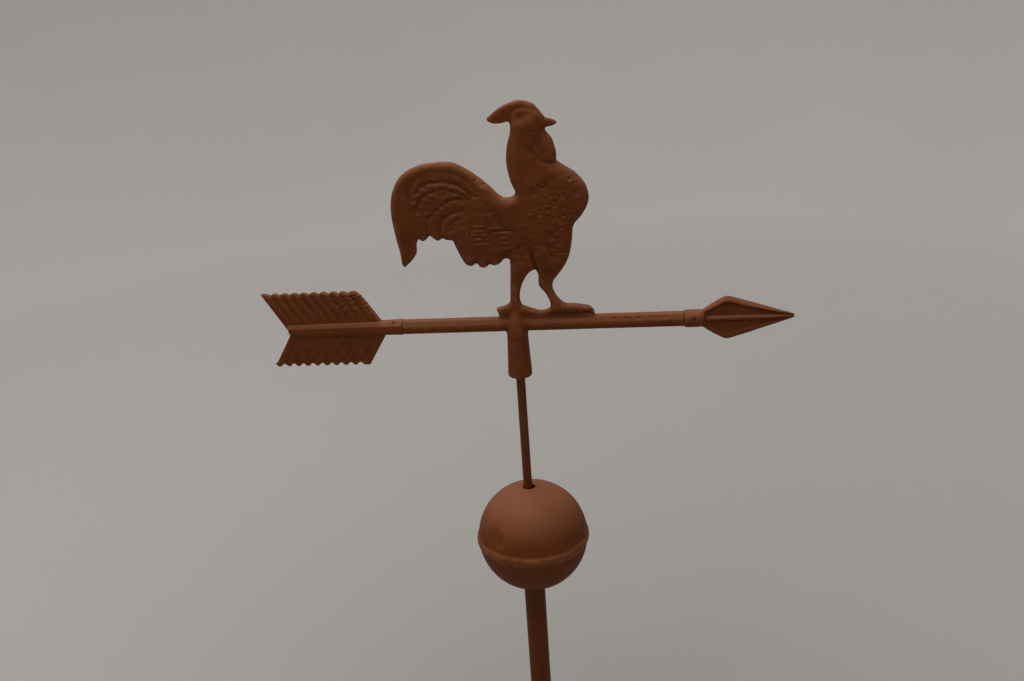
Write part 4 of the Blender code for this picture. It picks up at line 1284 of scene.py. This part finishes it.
def backdrop(name, middle, edge, roughness):
    """The floor and backdrop's plain paper: painted a little darker in the middle as painted shade, and
    barely uneven.
    """
    made = bpy.data.materials.new(name)
    made.use_nodes = True
    tree = made.node_tree
    shader = tree.nodes["Principled BSDF"]
    place = make_node(tree, "ShaderNodeTexCoord").outputs["Object"]
    away = make_node(tree, "ShaderNodeVectorMath", {0: place}, operation="LENGTH").outputs["Value"]
    clouds = noise_value(tree, place, *PAPER_NOISE)
    # Painted shade: the paper gets darker towards the middle.
    tone = mixed(tree, ranged(tree, away, *PAPER_GRADE), middle, edge)
    tone = mixed(tree, ranged(tree, clouds, 0.3, 0.7, 0.0, 0.06), tone, middle)
    tree.links.new(tone, shader.inputs["Base Color"])
    shader.inputs["Roughness"].default_value = roughness
    shader.inputs["Specular IOR Level"].default_value = PAPER_GLOSS
    return made


def add_studio():
    """A round seamless sweep: a flat floor that curves up into a wall all round."""
    profile = [(0, 0), (0.6, 0), (1.4, 0), (SWEEP_FLOOR, 0)]
    bend = arc((SWEEP_FLOOR, SWEEP_BEND), SWEEP_BEND, -90, 0, 24)[1:]
    profile += bend + [(SWEEP_FLOOR + SWEEP_BEND, SWEEP_TOP)]
    points = []
    faces = []
    facets = 96
    for radius, height in profile[1:]:
        for i in range(facets):
            angle = 2 * math.pi * i / facets
            points.append((radius * math.cos(angle), radius * math.sin(angle), height))
    faces.append(list(range(facets)))
    for row in range(len(profile) - 2):
        for i in range(facets):
            j = (i + 1) % facets
            start = row * facets
            faces.append([start + i, start + facets + i, start + facets + j, start + j])
    mesh = bpy.data.meshes.new("studio_sweep")
    mesh.from_pydata(points, [], faces)
    mesh.materials.append(backdrop("backdrop paper", PAPER_SHADED_MIDDLE, PAPER_EDGE, 0.9))
    mesh.shade_smooth()
    sweep = bpy.data.objects.new("studio_sweep", mesh)
    bpy.context.scene.collection.objects.link(sweep)


def add_light(name, place, target, size, power):
    data = bpy.data.lights.new(name, "AREA")
    data.shape = "DISK"
    data.size = size
    data.energy = power
    data.color = WHITE
    lamp = bpy.data.objects.new(name, data)
    lamp.location = place
    lamp.rotation_euler = (Vector(target) - Vector(place)).to_track_quat("-Z", "Y").to_euler()
    bpy.context.scene.collection.objects.link(lamp)


def add_camera():
    data = bpy.data.cameras.new("camera")
    data.lens = CAMERA_LENS
    data.sensor_width = 36.0
    data.clip_start = 0.02
    data.clip_end = 40.0
    camera = bpy.data.objects.new("camera", data)
    camera.location = CAMERA_PLACE
    camera.rotation_euler = Euler(CAMERA_TURN)
    bpy.context.scene.collection.objects.link(camera)
    bpy.context.scene.camera = camera


def add_world():
    world = bpy.data.worlds.new("studio")
    world.use_nodes = True
    shade = world.node_tree.nodes["Background"]
    shade.inputs["Color"].default_value = (*WHITE, 1.0)
    shade.inputs["Strength"].default_value = WORLD_STRENGTH
    bpy.context.scene.world = world


bpy.context.scene.view_settings.view_transform = "Standard"
add_camera()
add_world()
add_studio()
add_light("overhead", (-0.5, 0.0, 2.05), (0.0, 0.05, 0.45), 1.3, 20.0)
add_light("front", (-1.5, -1.9, 2.3), (0.0, 0.0, 0.45), 1.4, 5.0)

# Each paint's colours are its base, dark, light, edge colour (scuffs with a painted highlight) and top
# colour (dusty, with a painted sheen). The share of that top colour and the slopes it lies on follow, and
# then the grain's height and the roughness.
cast_finish = paint(
    "painted casting", (0.127, 0.0295, 0.0039), (0.103, 0.0228, 0.0028), (0.144, 0.0372, 0.0067),
    (0.190, 0.064, 0.023), (0.200, 0.074, 0.033), 0.76, (0.12, 0.6), 0.00035, 0.66,
)
ball_finish = paint(
    "painted ball", (0.124, 0.0280, 0.0032), (0.108, 0.0232, 0.0025), (0.134, 0.0325, 0.0055),
    (0.250, 0.096, 0.043), (0.208, 0.078, 0.035), 0.92, (0.30, 0.80), 0.00012, 0.62,
)
bar_finish = paint(
    "painted mast", (0.104, 0.0240, 0.0040), (0.086, 0.0188, 0.0031), (0.116, 0.0310, 0.0070),
    (0.16, 0.058, 0.022), (0.17, 0.062, 0.026), 0.6, (0.2, 0.7), 0.00012, 0.6,
)
rod_finish = paint(
    "painted rod", (0.112, 0.0280, 0.0048), (0.092, 0.0215, 0.0035), (0.127, 0.0360, 0.0085),
    (0.16, 0.058, 0.022), (0.17, 0.062, 0.026), 0.6, (0.2, 0.7), 0.0001, 0.58,
)
pin_finish = paint(
    "painted pin", (0.080, 0.020, 0.006), (0.055, 0.013, 0.004), (0.105, 0.032, 0.010),
    (0.17, 0.07, 0.035), (0.17, 0.065, 0.03), 0.6, (0.2, 0.7), 0.0001, 0.5,
)
add_mast(bar_finish)
add_rod(rod_finish)
add_ball(ball_finish)
add_cockerel(cast_finish)
add_fletching(cast_finish)
add_arrowhead(cast_finish)
add_pin("tail_pin", TAIL_PIN_X, FLETCH_PIN_TILT, FLETCH_SLEEVE_WIDTH, pin_finish, "fletching_pin")
add_pin("head_pin", HEAD_PIN_X, HEAD_PIN_TILT, HEAD_SLEEVE_DIAMETER, pin_finish, "arrowhead_pin")
